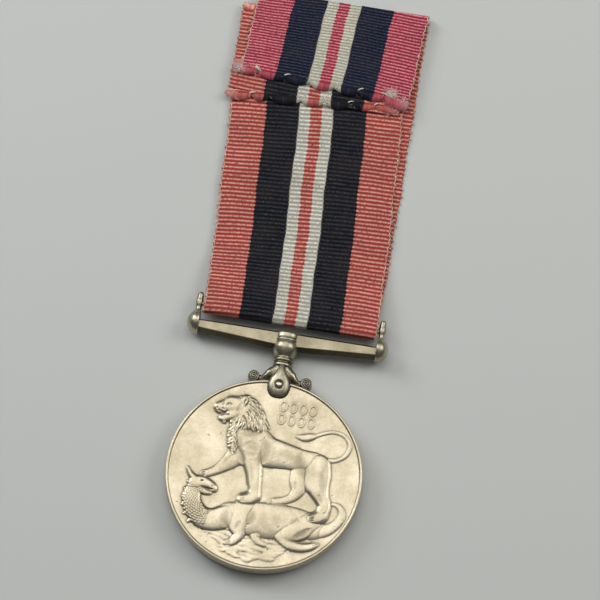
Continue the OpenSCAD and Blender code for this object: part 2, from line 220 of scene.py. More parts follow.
def bar_height(x, y, a, b):
    """Height of the round bar from a to b above the field, negative outside it."""
    t, d = nearest(x, y, a, b)
    r = a[3] + t * (b[3] - a[3])
    bulge = np.maximum(1 - (d / r) ** 2, 0)    # between a round section and a flatter one
    return a[2] + t * (b[2] - a[2]) + r * (.45 * np.sqrt(bulge) + .5 * bulge) - FLANK * np.maximum(d - r, 0)


def blend_max(a, b, k):
    """The larger of a and b, rounded over where they are within k of each other."""
    h = np.maximum(k - np.abs(a - b), 0) / k
    return np.maximum(a, b) + h * h * k / 4


def curve_through(points, steps):
    """A smooth line through points, with steps pieces between each pair."""
    p = np.array(points, float)
    p = np.vstack([2 * p[0] - p[1], p, 2 * p[-1] - p[-2]])
    out = []
    for a, b, c, d in zip(p, p[1:], p[2:], p[3:]):
        for u in np.arange(steps) / steps:
            out.append(.5 * (2 * b + (c - a) * u + (2 * a - 5 * b + 4 * c - d) * u * u
                             + (3 * b - a - 3 * c + d) * u ** 3))
    return np.array(out + [p[-2]])


def limb(x, y, chain, k=0.5):
    """Height of a chain of bars that flow into each other."""
    height = np.full(x.shape, BELOW)
    line = curve_through(chain, 3) if len(chain) > 2 else chain
    for a, b in zip(line, line[1:]):
        height = blend_max(height, bar_height(x, y, a, b), k)
    return height


def mass(x, y, chains, k):
    height = np.full(x.shape, BELOW)
    for chain in chains:
        height = blend_max(height, limb(x, y, chain), k)
    return height


def stroke(x, y, points, r0, r1):
    """1 along a thin tapering line and 0 away from it."""
    total = np.zeros(x.shape)
    for i, (a, b) in enumerate(zip(points, points[1:])):
        near = ((x > min(a[0], b[0]) - r0) & (x < max(a[0], b[0]) + r0)
                & (y > min(a[1], b[1]) - r0) & (y < max(a[1], b[1]) + r0))
        if near.any():
            t, d = nearest(x[near], y[near], a, b)
            d /= r0 + (r1 - r0) * (i + t) / (len(points) - 1)
            total[near] = np.maximum(total[near], np.maximum(1 - d * d, 0))
    return total


# Each figure is a list of chains of bars that blend into one mass.
LION_FAR_HIND = [
    [(6.8, 1.6, 0, 2), (6.5, -.3, .1, 1.6), (6.6, -2, .2, 1.15), (5.8, -3.4, .2, .8), (4.2, -4.3, .2, .66),
     (2.8, -4.7, .3, .62), (1.8, -4.9, .3, .46)]]
LION_FAR_FORE = [
    [(-5, 3.4, 0, 2), (-6.4, 1.6, .1, 1.45), (-7.7, .3, .2, 1.02), (-9, -.7, .3, .74), (-10.1, -1.3, .4, .66),
     (-11, -1.6, .4, .58)]]
LION_TAIL = [
    [(9.9, 4.2, .2, .8), (11.3, 4.5, .2, .44), (12.7, 4.8, .2, .36), (14.1, 5.8, .2, .34), (14.7, 7.2, .2, .33),
     (14.4, 8.6, .2, .32), (13.2, 9.7, .2, .31), (11.3, 10, .2, .3), (9.7, 9.5, .2, .28), (8.3, 8.8, .2, .28)],
    [(8.3, 8.8, .2, .3), (7.2, 8.4, .3, .6), (6, 8.1, .3, .55), (4.4, 8.2, .1, .12)]]
LION_BODY = [
    [(-2.4, 5, .2, 2.4), (-.6, 4.4, .4, 2.75), (1.4, 4.2, .35, 2.6), (3.8, 4, .2, 2.25), (6.2, 3.7, .1, 2.1),
     (8.6, 3.5, .2, 2.2)],
    [(-1.2, 6.2, .2, 1.3), (1.2, 5.7, .1, 1.2), (3.6, 5.2, .1, 1.15), (6.6, 4.4, .1, 1.3), (9.6, 3.4, .1, 1.7)],
    [(-6, 4.6, .1, 1.2), (-5, 3.2, .3, 1.7), (-3.6, 2.6, .4, 1.6)]]
LION_NECK = [
    [(-6, 12.2, .6, 1.9), (-5, 10.9, .6, 2.4), (-3.9, 9.4, .5, 2.4), (-2.8, 7.8, .3, 2)],
    [(-4.5, 12.9, .5, 1.1), (-3.3, 11.4, .4, 1.3), (-2.3, 9.7, .3, 1.2), (-1.6, 8.6, .2, .8)],
    [(-6.3, 9.4, .8, 1.4), (-6.5, 7.8, .8, 1.15), (-6.7, 6.2, .7, .9), (-6.6, 4.7, .6, .75), (-6.2, 3.3, .5, .5)]]
# The mane's edge breaks into locks behind the neck and down the breast.
MANE_TIPS = [[(-4.9 + .36 * i, 13.9 - .42 * i, .4, .42), (-4.25 + .40 * i, 13.35 - .47 * i, .2, .1)] for i in range(11)]
MANE_TIPS += [[(-7.0 + .03 * i, 8.6 - .6 * i, .6, .4), (-7.75 + .09 * i, 7.9 - .6 * i, .3, .1)] for i in range(8)]
LION_SHOULDER = [
    [(-4.4, 6.7, .8, 1.7), (-3.4, 5.8, .9, 2.5), (-2.7, 4.4, .9, 2.6), (-2.5, 2.9, 1.1, 2)],
    [(-3.8, 7.2, .7, 1.3), (-2.3, 7.3, .5, 1.5), (-.7, 6.4, .2, 1.5), (.6, 5.6, 0, 1.2)]]
LION_HEAD = [
    [(-6.5, 12.1, 1.5, 1.55), (-7.6, 12.1, 1.55, 1.35), (-8.7, 11.9, 1.5, .98), (-9.7, 11.6, 1.5, .68),
     (-10.35, 11.4, 1.5, .5)],
    [(-7, 10.9, 1.6, 1.15), (-7.9, 10.2, 1.4, .78), (-8.7, 9.6, 1.3, .5), (-9.3, 9.4, 1.2, .42)],
    [(-7.4, 13, 1.7, .5), (-8.3, 12.95, 1.9, .42), (-9, 12.5, 1.8, .3)],
    [(-9.3, 11.1, 1.8, .52), (-10.1, 10.95, 1.7, .42)],
    [(-8.9, 9.2, 1.2, .42), (-8.8, 8.7, 1, .2)]]
LION_EAR = [[(-5.8, 13.1, 2.2, .74), (-5.5, 13.5, 2.3, .5)]]
LION_NEAR_FORE = [
    [(-2.8, 3.4, 1.1, 1.85), (-2.35, 1.9, 1.3, 1.5), (-1.85, .2, 1.5, 1.2), (-1.5, -1.5, 1.5, 1),
     (-1.2, -3.2, 1.6, .82), (-1.2, -4.2, 2.1, .9), (-1.9, -5, 2.6, .88), (-3, -5.3, 2.6, .68)]]
LION_NEAR_HIND = [
    [(9.5, 3.1, .9, 2.2), (9.7, 1.2, 1.1, 2.25), (10.1, -.7, 1.2, 1.8), (11, -2.5, 1.3, 1.15), (11.8, -3.9, 1.5, .9),
     (11.7, -5.3, 1.9, .82), (11.3, -6.3, 2.5, .86), (10.5, -6.8, 2.9, .76), (9.7, -6.95, 2.9, .56)],
    [(8.4, 2.4, .7, 1.4), (8.3, .6, .8, 1.15), (8.9, -1, 1, .95)]]
BEAST_BODY = [
    [(-4.8, -8.8, 0, 2.7), (-1.6, -8.6, 0, 3.1), (2, -8.5, 0, 3.35), (5.4, -8.2, 0, 3.1), (8.2, -8.2, 0, 2.7),
     (10.4, -8.6, 0, 2.1)]]
BEAST_TAIL = [
    [(10.8, -9, 0, 1.5), (12.9, -8.5, .1, 1.1), (14.6, -7, .2, .8), (15.3, -5.3, .2, .62), (14.6, -3.9, .2, .48),
     (13.3, -3.5, .1, .3), (12.6, -4, .1, .18)]]
BEAST_HAUNCH = [
    [(9.7, -7.8, .9, 2), (8, -8.8, 1.1, 2.3), (6.2, -9.8, 1.1, 2), (4.8, -10.7, 1, 1.2)],
    [(4.9, -11.3, 1, .85), (6.6, -12.3, 1, .8), (8.8, -12.5, .9, .66), (10.4, -12.1, .8, .56), (11.4, -11.5, .8, .4)]]
BEAST_SHOULDER = [
    [(-2.3, -7.4, .7, 2.3), (-2.9, -8.9, .9, 2.45), (-3.1, -10.2, 1.1, 1.7), (-2.7, -11.6, 1.1, .92),
     (-3.1, -12.7, 1.1, .72), (-3.9, -13.5, 1, .62), (-4.8, -13.8, .9, .42)],
    [(1.2, -10.4, .5, 1.2), (.2, -11.6, .6, .8), (1, -12.6, .6, .6), (2.2, -13, .6, .4)]]
BEAST_NECK = [
    [(-5.4, -8.9, .9, 2.1), (-7.8, -9.9, 1.1, 1.9), (-10.1, -9.6, 1.1, 1.75), (-11.8, -7.9, 1.1, 1.55),
     (-12.4, -6, 1.1, 1.4), (-12.1, -4.5, 1.1, 1.2)]]
BEAST_HEAD = [
    [(-11.9, -3.5, 1.5, 1.15), (-10.8, -3.2, 1.5, .9), (-9.6, -3.4, 1.4, .6), (-8.7, -3.9, 1.4, .42),
     (-8.5, -4.4, 1.2, .2)],
    [(-11.3, -4.5, 1.2, .62), (-10.2, -4.9, 1, .42), (-9.3, -5, .9, .28)],
    [(-12.3, -2.8, 1.4, .46), (-13.2, -2, 1.2, .26), (-13.9, -.9, 1, .08)],
    [(-12.7, -4, 1.2, .34), (-13.4, -3.5, 1, .1)]]
BEAST_HEAD += [[(x, y, 1.0, .34), (tip_x, tip_y, .8, .1)] for x, y, tip_x, tip_y in (
    (-13.0, -5.2, -13.8, -4.9), (-13.1, -6.5, -13.9, -6.4), (-13.0, -7.8, -13.8, -8.0), (-12.5, -9.1, -13.2, -9.6),
    (-11.6, -10.3, -12.2, -11.0))]


def over(below, figure, shade=0.3):
    """figure laid over what is below it, with a narrow step cut round its outline."""
    step = np.exp(-(np.minimum(figure - below, 0) / shade) ** 2) * (figure < below)
    return np.where(figure > below, figure, below - 0.18 * step * (below > 0.3))


def lion_scene(x, y):
    """Height in the round of the lion standing over the fallen beast, and where its mane lies."""
    height = np.full(x.shape, BELOW)
    for figure, k in ((BEAST_TAIL, .4), (BEAST_BODY, .8), (BEAST_HAUNCH, .7), (BEAST_SHOULDER, .6),
                      (BEAST_NECK, .6), (BEAST_HEAD, .25), (LION_FAR_HIND, .5), (LION_FAR_FORE, .5),
                      (LION_TAIL, .2), (LION_BODY, 1.2)):
        height = over(height, mass(x, y, figure, k))
    neck = np.maximum(mass(x, y, LION_NECK, 1.0), mass(x, y, MANE_TIPS, .25))
    height = over(height, neck)
    limbs = np.maximum(mass(x, y, LION_SHOULDER, 1.0), mass(x, y, LION_NEAR_FORE, .8))
    covered = limbs > height
    # The shoulder flows into the back, and stands clear of the flank lower down.
    clear, laid = smoothstep(5.6, 3.6, y), over(height, limbs)
    height = clear * laid + (1 - clear) * np.where(neck > 0, laid, blend_max(height, limbs, 1.6))
    height = over(height, mass(x, y, LION_NEAR_HIND, .9))
    head = mass(x, y, LION_HEAD, .3)
    height = over(over(height, head), mass(x, y, LION_EAR, .3))
    return height, smoothstep(0, .5, neck) * ~covered * (1 - smoothstep(.4, 1.3, head))


SOFT_HOLLOWS = [    # points along each hollow, its width, and its depth
    ([(-5.5, 6.4), (-5.4, 4.4), (-4.5, 2.6), (-4, 1.2)], .6, .5),
    ([(-.9, 6.9), (-.3, 5), (-.6, 3.2), (-1.2, 2)], .8, .5), ([(-4.3, 3.9), (-3.2, 3.3), (-1.9, 3.7)], .5, .35),
    ([(-3, 7.9), (-2.6, 6.4), (-3, 5.2)], .5, .2), ([(-5.5, 7), (-3.5, 7.5), (-1.6, 7.9)], .6, .5),
    ([(-4.7, 3.7), (-4, 5), (-2.75, 5.5), (-1.5, 4.9)], .4, .4), ([(-4.1, 4.2), (-3, 4.7), (-2, 4.2)], .7, .45),
    ([(1.6, 3.6), (3.6, 4.4), (5.4, 3.4)], .7, .35), ([(-2.7, 1.6), (-2.2, -.4), (-2, -2.4)], .28, .25),
    ([(.9, 5.6), (1.3, 4.4), (1.1, 3)], .4, .2), ([(2.3, 5.4), (2.7, 4.2), (2.5, 2.9)], .4, .2),
    ([(3.7, 5), (4, 4), (3.8, 2.9)], .4, .18), ([(6.1, 5.2), (6, 3.9), (6.5, 2.6), (7.1, 1.4), (7.5, .2)], .85, .5),
    ([(11, 3.4), (10.7, 1.6), (11, -.4), (11.3, -2.2)], .5, .3), ([(8.9, 3.6), (8.6, 2.2), (9, .8)], .5, .2),
    ([(10.4, -2.1), (11.2, -3.6)], .3, .3), ([(5.9, -.4), (6, -1.8)], .3, .3),
    ([(-6.9, 10.9), (-6.4, 11.8), (-6.3, 12.8)], .3, .3), ([(-8.1, .7), (-7.2, 1.7), (-6.4, 2.6)], .3, .25),
    ([(1.5, -6.8), (1.4, -8.7), (2.1, -10.4)], .7, .25), ([(3.8, -6.8), (3.8, -8.4), (4.2, -9.6)], .6, .22),
    ([(-5.4, -7.2), (-5.7, -9.3), (-4.9, -11)], .6, .5), ([(-1, -6.6), (-.8, -8.4), (-1.6, -10.2)], .6, .45),
    ([(7.2, -10.9), (8.6, -10.1), (10, -8.8)], .5, .4), ([(6.4, -8.2), (7.6, -7.6)], .5, .25),
    ([(-2.7, -9.4), (-3.5, -11)], .35, .25)]
SHARP_CUTS = [    # points along each cut, and its width
    ([(-10.2, 10.75), (-9.3, 10.55), (-8.6, 10.25), (-8.1, 10.15)], .2),
    ([(-8.9, 12.05), (-8.3, 12.3), (-7.8, 12.1)], .15), ([(-10.55, 11.2), (-10.3, 11.15)], .13),
    ([(-9.7, 11.9), (-9.2, 12.1)], .12), ([(-9.6, 11.2), (-8.9, 11)], .09), ([(-5.7, 12.9), (-5.5, 13.5)], .22),
    ([(-11.1, -3), (-10.7, -2.9)], .16), ([(-8.8, -4.3), (-9.9, -4.2), (-10.9, -4.1)], .16),
    ([(-9, -3.7), (-8.8, -3.6)], .1), ([(-5, 13.9), (-5, 13), (-5.4, 12.3)], .2)]


def towards(angle):
    return np.array([math.cos(angle), math.sin(angle)])


def fine_marks(x, y, rng):
    """Hair and scales, hollows and cuts, as small heights added to the relief, and where the hollows get painted shade.
    """
    raised, cut = np.zeros(x.shape), np.zeros(x.shape)
    face = np.array([-7.4, 11.6])
    # Locks of the mane sweep back from the face.
    for row, (reach, count) in enumerate(((1.7, 12), (2.5, 15), (3.4, 18), (4.3, 19), (5.3, 19), (6.3, 17), (7.3, 14))):
        for i in range(count):
            angle = math.radians(98 - 200 * (i + 0.5 * (row % 2) + rng.uniform(-.25, .25)) / count)
            points = [face + reach * towards(angle)]
            heading, bend = angle - math.radians(18 + 30 * rng.random()), rng.uniform(4, 18)
            for step in range(4):
                heading -= math.radians(bend if step < 2 else -bend * .6)
                points.append(points[-1] + .40 * towards(heading))
            raised = np.maximum(raised, stroke(x, y, points, rng.uniform(.2, .3), .06) * rng.uniform(.7, 1))
    for i in range(13):    # the fringe under the throat and down the breast
        start = np.array([-7.1 + 0.05 * i + rng.uniform(-.1, .1), 9.0 - 0.45 * i])
        sway = .5 + .25 * math.sin(i * 2.1)
        points = [start + t * np.array([sway, -1.0]) * 1.3 for t in (0, .35, .7, 1)]
        raised = np.maximum(raised, stroke(x, y, points, .24, .06))
    for points, width, depth in SOFT_HOLLOWS:
        line = curve_through(points, 4)
        ends = np.interp(np.linspace(0, 1, len(line)), [0, .3, .7, 1], [.25, 1, 1, .25])
        for k in range(len(line) - 1):
            dip = stroke(x, y, line[k:k + 2], 1.5 * width * ends[k], 1.5 * width * ends[k + 1])
            cut = np.maximum(cut, dip * depth * ends[k])
    # Painted shade, spread wide over the soft hollows of the shoulders, flanks and haunches.
    tone_and_shade = soften(cut, 24)
    for points, width in SHARP_CUTS:
        cut = np.maximum(cut, stroke(x, y, curve_through(points, 3), width, width * .6) * .9)
    for tip, way in (((-3.3, -5.35), -1), ((-11.2, -1.7), -1), ((1.8, -4.95), -1), ((9.8, -7.0), -1),
                     ((-4.6, -13.9), -1), ((11.4, -11.5), 1)):
        for toe_y in (-.3, .0, .3):
            start = np.array(tip) + (-way * .5, toe_y)
            cut = np.maximum(cut, stroke(x, y, [start + (0, .15), start + (way * .75, .03)], .11, .06) * .8)
    spine = curve_through(BEAST_NECK[0], 5)[:, :2]
    for i, point in enumerate(spine):    # scales down the beast's neck
        along = spine[min(i + 1, len(spine) - 1)] - spine[max(i - 1, 0)]
        along = along / np.linalg.norm(along)
        for lane in range(-3, 4):
            at = point + np.array([-along[1], along[0]]) * (lane * .5 + .25 * (i % 2))
            raised = np.maximum(raised, stroke(x, y, [at, at + along * .2], .24, .14))
    return raised, cut, tone_and_shade


def ground(x, y, rng):
    """Broken ground under the beast: long low folds that follow the rim, with tufts on them."""
    height = np.full(x.shape, BELOW)
    for i, (depth, reach) in enumerate(((-12.6, 9.0), (-13.3, 8.6), (-14.0, 7.6), (-14.7, 6.6), (-15.3, 5.4),
                                        (-15.9, 3.8))):
        for part in (-1, 0, 1):
            middle = part * reach * .62 + rng.uniform(-.8, .8)
            half = reach * rng.uniform(.26, .42)
            chain = []
            for t in np.linspace(-1, 1, 6):
                px = middle + half * t
                lift = .016 * px * px + rng.uniform(-.16, .16) + .25 * math.sin(px * .9 + i)
                chain.append((px, depth + lift, .05, .18 + .4 * (1 - t * t)))
            height = blend_max(height, limb(x, y, chain, .2), .1)
    for _ in range(34):
        px = rng.uniform(-10.5, 10.5)
        base = -12.2 - rng.random() * 3.2 + .018 * px * px
        lean = rng.uniform(-.6, .6)
        blade = [(px, base, -.1, .2), (px + lean * .5, base + .45, .1, .15), (px + lean, base + .85, .0, .05)]
        height = np.maximum(height, limb(x, y, blade, .05))
    return height


def on_wreath(side, degrees, radius=12.6):
    """A place on one branch of the wreath, counted up from the bottom."""
    a = math.radians(degrees)
    return np.array([side * radius * math.sin(a), -radius * math.cos(a)])


def wreath(x, y):
    """Two laurel branches, tied at the bottom and open at the top, for the face that lies down."""
    height, veins = np.full(x.shape, BELOW), np.zeros(x.shape)
    for side in (-1, 1):
        stem = [(*on_wreath(side, a), .1, .34 - .012 * i) for i, a in enumerate(range(6, 152, 8))]
        height = np.maximum(height, limb(x, y, stem, .1))
        for a in range(14, 150, 9):
            root = on_wreath(side, a)
            outward = root / np.linalg.norm(root)
            along = np.array([side * math.cos(math.radians(a)), math.sin(math.radians(a))])
            for out in (-1, 1):
                way = along * .86 + outward * out * .52
                points = [root + way * t for t in (.2, 1.2, 2.2, 3.1)]
                leaf = [(*p, .15, r) for p, r in zip(points, (.2, .66, .5, .06))]
                height = np.maximum(height, limb(x, y, leaf, .2))
                veins = np.maximum(veins, stroke(x, y, [points[0], points[3]], .12, .06))
    for chain in ([(0, -12.8, .5, .5), (1.6, -13.7, .5, .62), (2.4, -12.5, .4, .5), (.3, -12.6, .5, .4)],
                  [(.2, -12.9, .4, .4), (1.2, -14.6, .3, .42), (2.3, -15.3, .2, .3)]):    # the bow
        for side in (-1, 1):
            height = blend_max(height, limb(x, y, [(side * a, b, c, d) for a, b, c, d in chain], .2), .15)
    return height, veins


def soften(values, passes):
    """Averages a grid with its neighbours, a few times over."""
    for _ in range(passes):
        padded = np.pad(values, 1, mode="edge")
        values = (padded[:-2, 1:-1] + padded[2:, 1:-1] + padded[1:-1, :-2] + padded[1:-1, 2:] + 4 * values) / 8
    return values


def face_height(x, y, up, rng):
    """Height of one face above the disc's mid-plane, in millimetres, where it gets painted shade, and where it is worn.
    """
    r = np.hypot(x, y)
    dents, tone_and_shade = np.zeros(x.shape), np.zeros(x.shape)
    if up:
        figures, mane = lion_scene(x, y)
        figures = np.maximum(figures, ground(x, y, rng) * (r < FIGURE_R))
        raised, cut, tone_and_shade = fine_marks(x, y, rng)
        scales = (x < -9.0) * (y < -4.4) * (y > -11)
        pressed = RELIEF_TOP * (np.maximum(figures, 0) / 3.7) ** 0.94
        pressed += smoothstep(0, .25, figures) * (.10 * raised * np.maximum(mane, .9 * scales)
                                                  - .035 * mane * (1 - raised) - .16 * cut)
        for row in (13.45, 11.0):    # two short rows of plain rings
            for column in (1.5, 3.35, 5.2, 7.0):
                d = np.hypot((x - column) / .62, (y - row) / .92)
                pressed = np.maximum(pressed, .07 * np.clip(1 - ((d - 1) / .17) ** 2, 0, 1))
        for _ in range(26):          # knocks and pits from handling
            at = rng.uniform(-15, 15, 2)
            turn, size = rng.uniform(0, math.pi), rng.uniform(.06, .14)
            dents = np.maximum(dents, stroke(x, y, [at, at + size * 2.2 * towards(turn)], size, size * .5))
    else:
        figures, veins = wreath(x, y)
        pressed = .42 * (np.maximum(figures, 0) / 1.6) ** .7 - .05 * veins * (figures > .2)
    wave = .008 * np.sin(x * .31 + 1) * np.cos(y * .27)
    height = FIELD_Z + wave + np.maximum(pressed, 0) - .03 * dents
    height += DISH * (r / 17.4) ** 4 * (r < RIM_IN)     # the field is struck a little hollow
    rim = HALF_T - .06 * np.abs((r - RIM_TOP) / .2) ** 3 - .016 * smoothstep(17.9, 18.0, r)
    groove = .03 * np.exp(-((r - 17.44) / .09) ** 2)    # at the foot of the rim
    height = np.where(r > RIM_IN, np.maximum(rim, FIELD_Z + DISH), height - groove)
    near, far = soften(height, 4), soften(height, 22)
    # Painted shade: darker where the surface lies below its softened self, as thin outlines round the figures and in
    # broad hollows.
    crease = np.clip((near - height) * 46, 0, 1) * .6 + np.clip((far - height) * 6, 0, .3)
    # Dents are darker too, and the soft hollows get painted shade.
    crease = crease * (r < 17.6) + .6 * dents + .9 * tone_and_shade
    return height, np.clip(crease, 0, 1), np.clip((height - far) * 12, 0, 1)


def disc_grid(radii):
    """Points of a square grid bent to a disc, with one ring for each of radii."""
    steps = np.arange(1 - len(radii), len(radii))
    i, j = np.meshgrid(steps, steps, indexing="ij")
    ring = np.maximum(abs(i), abs(j))
    safe, quarter = np.maximum(ring, 1), math.pi / 4
    angle = np.where(abs(i) >= abs(j), quarter * j / safe * np.sign(i) + np.where(i < 0, math.pi, 0),
                     math.pi / 2 * np.sign(j) - quarter * i / safe * np.sign(j))
    r = np.asarray(radii)[ring]
    return r * np.cos(angle), r * np.sin(angle)


def bridge(upper, upper_angle, lower, lower_angle):
    """Triangles between two rings of points, each in order of angle from the same start."""
    faces, i, j = [], 0, 0
    n, m = len(upper), len(lower)
    while i < n or j < m:
        next_upper = upper_angle[(i + 1) % n] + (TURN if i + 1 >= n else 0)
        next_lower = lower_angle[(j + 1) % m] + (TURN if j + 1 >= m else 0)
        face = [upper[i % n], lower[j % m]]
        if j >= m or (i < n and next_upper <= next_lower):
            i += 1
            faces.append(face + [upper[i % n]])
        else:
            j += 1
            faces.append(face + [lower[j % m]])
    return faces


def disc_piece():
    """The struck disc as one closed mesh: a fine face, a coarser back, and the edge between them."""
    rng = np.random.default_rng(7)
    edge_rings = [17.3, 17.38, 17.44, 17.49, 17.54, 17.59, 17.66, 17.75, 17.84, 17.92, DISC_R - .015]
    points = np.zeros((0, 5))    # x, y, z, crease and crest
    faces, rims = [], []
    for rings, up in ((136, True), (68, False)):
        outer = edge_rings if up else edge_rings[1::2] + edge_rings[-1:]
        x, y = disc_grid([*np.linspace(0, 17.2, rings - len(outer)), *outer])
        height, crease, crest = face_height(x, y, up, rng)
        index = len(points) + np.arange(x.size).reshape(x.shape)
        columns = (x, y, height if up else -height, crease, crest)
        points = np.vstack([points, np.column_stack([q.ravel() for q in columns])])
        corners = [index[:-1, :-1], index[1:, :-1], index[1:, 1:], index[:-1, 1:]]
        faces += np.column_stack([q.ravel() for q in (corners if up else corners[::-1])]).tolist()
        around = np.concatenate([index[-1, :-1], index[1:, -1], index[0, 1:], index[:-1, 0]])
        angle = np.arctan2(points[around, 1], points[around, 0])
        order = np.argsort(angle)
        rims.append((around[order], angle[order]))
    (ring, angle), (last, last_angle) = rims
    for z in (1.27, .95, .3, -.3, -.95, -1.27):
        new = len(points) + np.arange(len(angle))
        swell = DISC_R - .012 * (z / 1.3) ** 2
        edge = np.broadcast_arrays(swell * np.cos(angle), swell * np.sin(angle), z, 0, 0)
        points = np.vstack([points, np.column_stack(edge)])
        faces += bridge(ring, angle, new, angle)
        ring = new
    faces += bridge(ring, angle, last, last_angle)
    return add_mesh("medal_disc_struck", points[:, :3], faces, crease=points[:, 3], crest=points[:, 4])


# ---- claw, stem, bar and knobs ----

def turned(profile, steps=72):
    """Points and faces of a shape turned about the Y axis, from (radius, y) pairs that start and end on it."""
    around = [TURN * k / steps for k in range(steps)]
    points = [(0, profile[0][1], 0), (0, profile[-1][1], 0)]
    points += [(r * math.sin(a), y, r * math.cos(a)) for r, y in profile[1:-1] for a in around]
    faces, last = [], len(points) - steps
    for k in range(steps):
        n = (k + 1) % steps
        faces += [[0, 2 + n, 2 + k], [1, last + k, last + n]]
        faces += [[a + k, a + n, a + steps + n, a + steps + k] for a in range(2, last, steps)]
    return np.array(points), faces


def turned_smooth(profile, steps):
    return turned([profile[0], *curve_through(profile[1:-1], 3), profile[-1]], steps)


def above_rim(points):
    """Points whose y is given from the disc's edge."""
    return [(x, DISC_R + y, *z) for x, y, *z in points]


def loft(rings, caps=True):
    """Points and faces of a skin over rings of points, one after another, closed at both ends."""
    rings = np.asarray(rings, float)
    index = np.arange(rings[..., 0].size).reshape(rings.shape[:2])
    beside = np.roll(index, -1, axis=1)
    faces = np.stack([index[:-1], beside[:-1], beside[1:], index[1:]], -1).reshape(-1, 4).tolist()
    if caps:
        faces += [index[0][::-1].tolist(), index[-1].tolist()]
    return rings.reshape(-1, 3), faces


def tube(line, radii, sides, flat=1.0):
    """A closed tube along a line, its section stretched by flat where it faces up."""
    along = np.gradient(line, axis=0)
    along /= np.linalg.norm(along, axis=1)[:, None]
    rings = []
    for p, r, t in zip(line, np.broadcast_to(radii, len(line)), along):
        side = np.cross(t, UP)
        side = side / np.linalg.norm(side) if np.linalg.norm(side) > .05 else np.array([1.0, 0, 0])
        lift = np.cross(side, t)
        rings.append([p + r * (math.cos(a) * side + flat * math.sin(a) * lift)
                      for a in (TURN * k / sides for k in range(sides))])
    return loft(rings)


def join(shapes):
    """Several (points, faces) as one."""
    faces, start = [], 0
    for points, own in shapes:
        faces += [[i + start for i in face] for face in own]
        start += len(points)
    return np.vstack([points for points, _ in shapes]), faces


def fuse(name, shapes, voxel, smooth):
    """Shapes that overlap, made into one cast-looking skin."""
    piece = add_mesh(name, *join(shapes))
    for kind, settings in (("REMESH", {"mode": "VOXEL", "voxel_size": voxel * MM, "use_smooth_shade": True}),
                           ("SMOOTH", {"factor": .5, "iterations": smooth})):
        modifier = piece.modifiers.new(kind.lower(), kind)
        for key, value in settings.items():
            setattr(modifier, key, value)
    shown = piece.evaluated_get(bpy.context.evaluated_depsgraph_get())
    mesh = bpy.data.meshes.new_from_object(shown)
    piece.modifiers.clear()
    piece.data = mesh
    mesh.name = name
    return piece


TOE_Y, TOE_BASE = DISC_R - .85, FIELD_Z    # the rivet's height, and where the toe meets the field
SCROLL_X, SCROLL_R = 4.9, 1.06
SCROLL_Y = math.sqrt((DISC_R + SCROLL_R + .02) ** 2 - SCROLL_X ** 2)
GROOVE_PITCH = .36


def toe(side):
    """One drop-shaped toe, from its round end up to the neck, on the front for side 1 or the back for -1."""
    stations = [(-2.42, .25, .1), (-2.3, .95, .5), (-1.9, 1.55, .92), (-1.2, 1.97, 1.17), (-.3, 2.18, 1.3),
                (.6, 2.12, 1.35), (1.5, 1.78, 1.34), (2.5, 1.2, 1.2), (3.4, .74, .98), (4.2, .6, .7)]
    rings, arch = [], 20
    for y, wide, high in curve_through([(TOE_Y + y, wide, high) for y, wide, high in stations], 4):
        rings.append([(wide * math.cos(a), y, side * (TOE_BASE + high * math.sin(a) ** .8))
                      for a in (math.pi * k / arch for k in range(arch + 1))]
                     + [(wide * (2 * k / arch - 1), y, side * (TOE_BASE - .5 * (y > DISC_R)))
                        for k in range(1, arch)])
    points, faces = loft(rings)
    return points, [f[::-side] for f in faces]


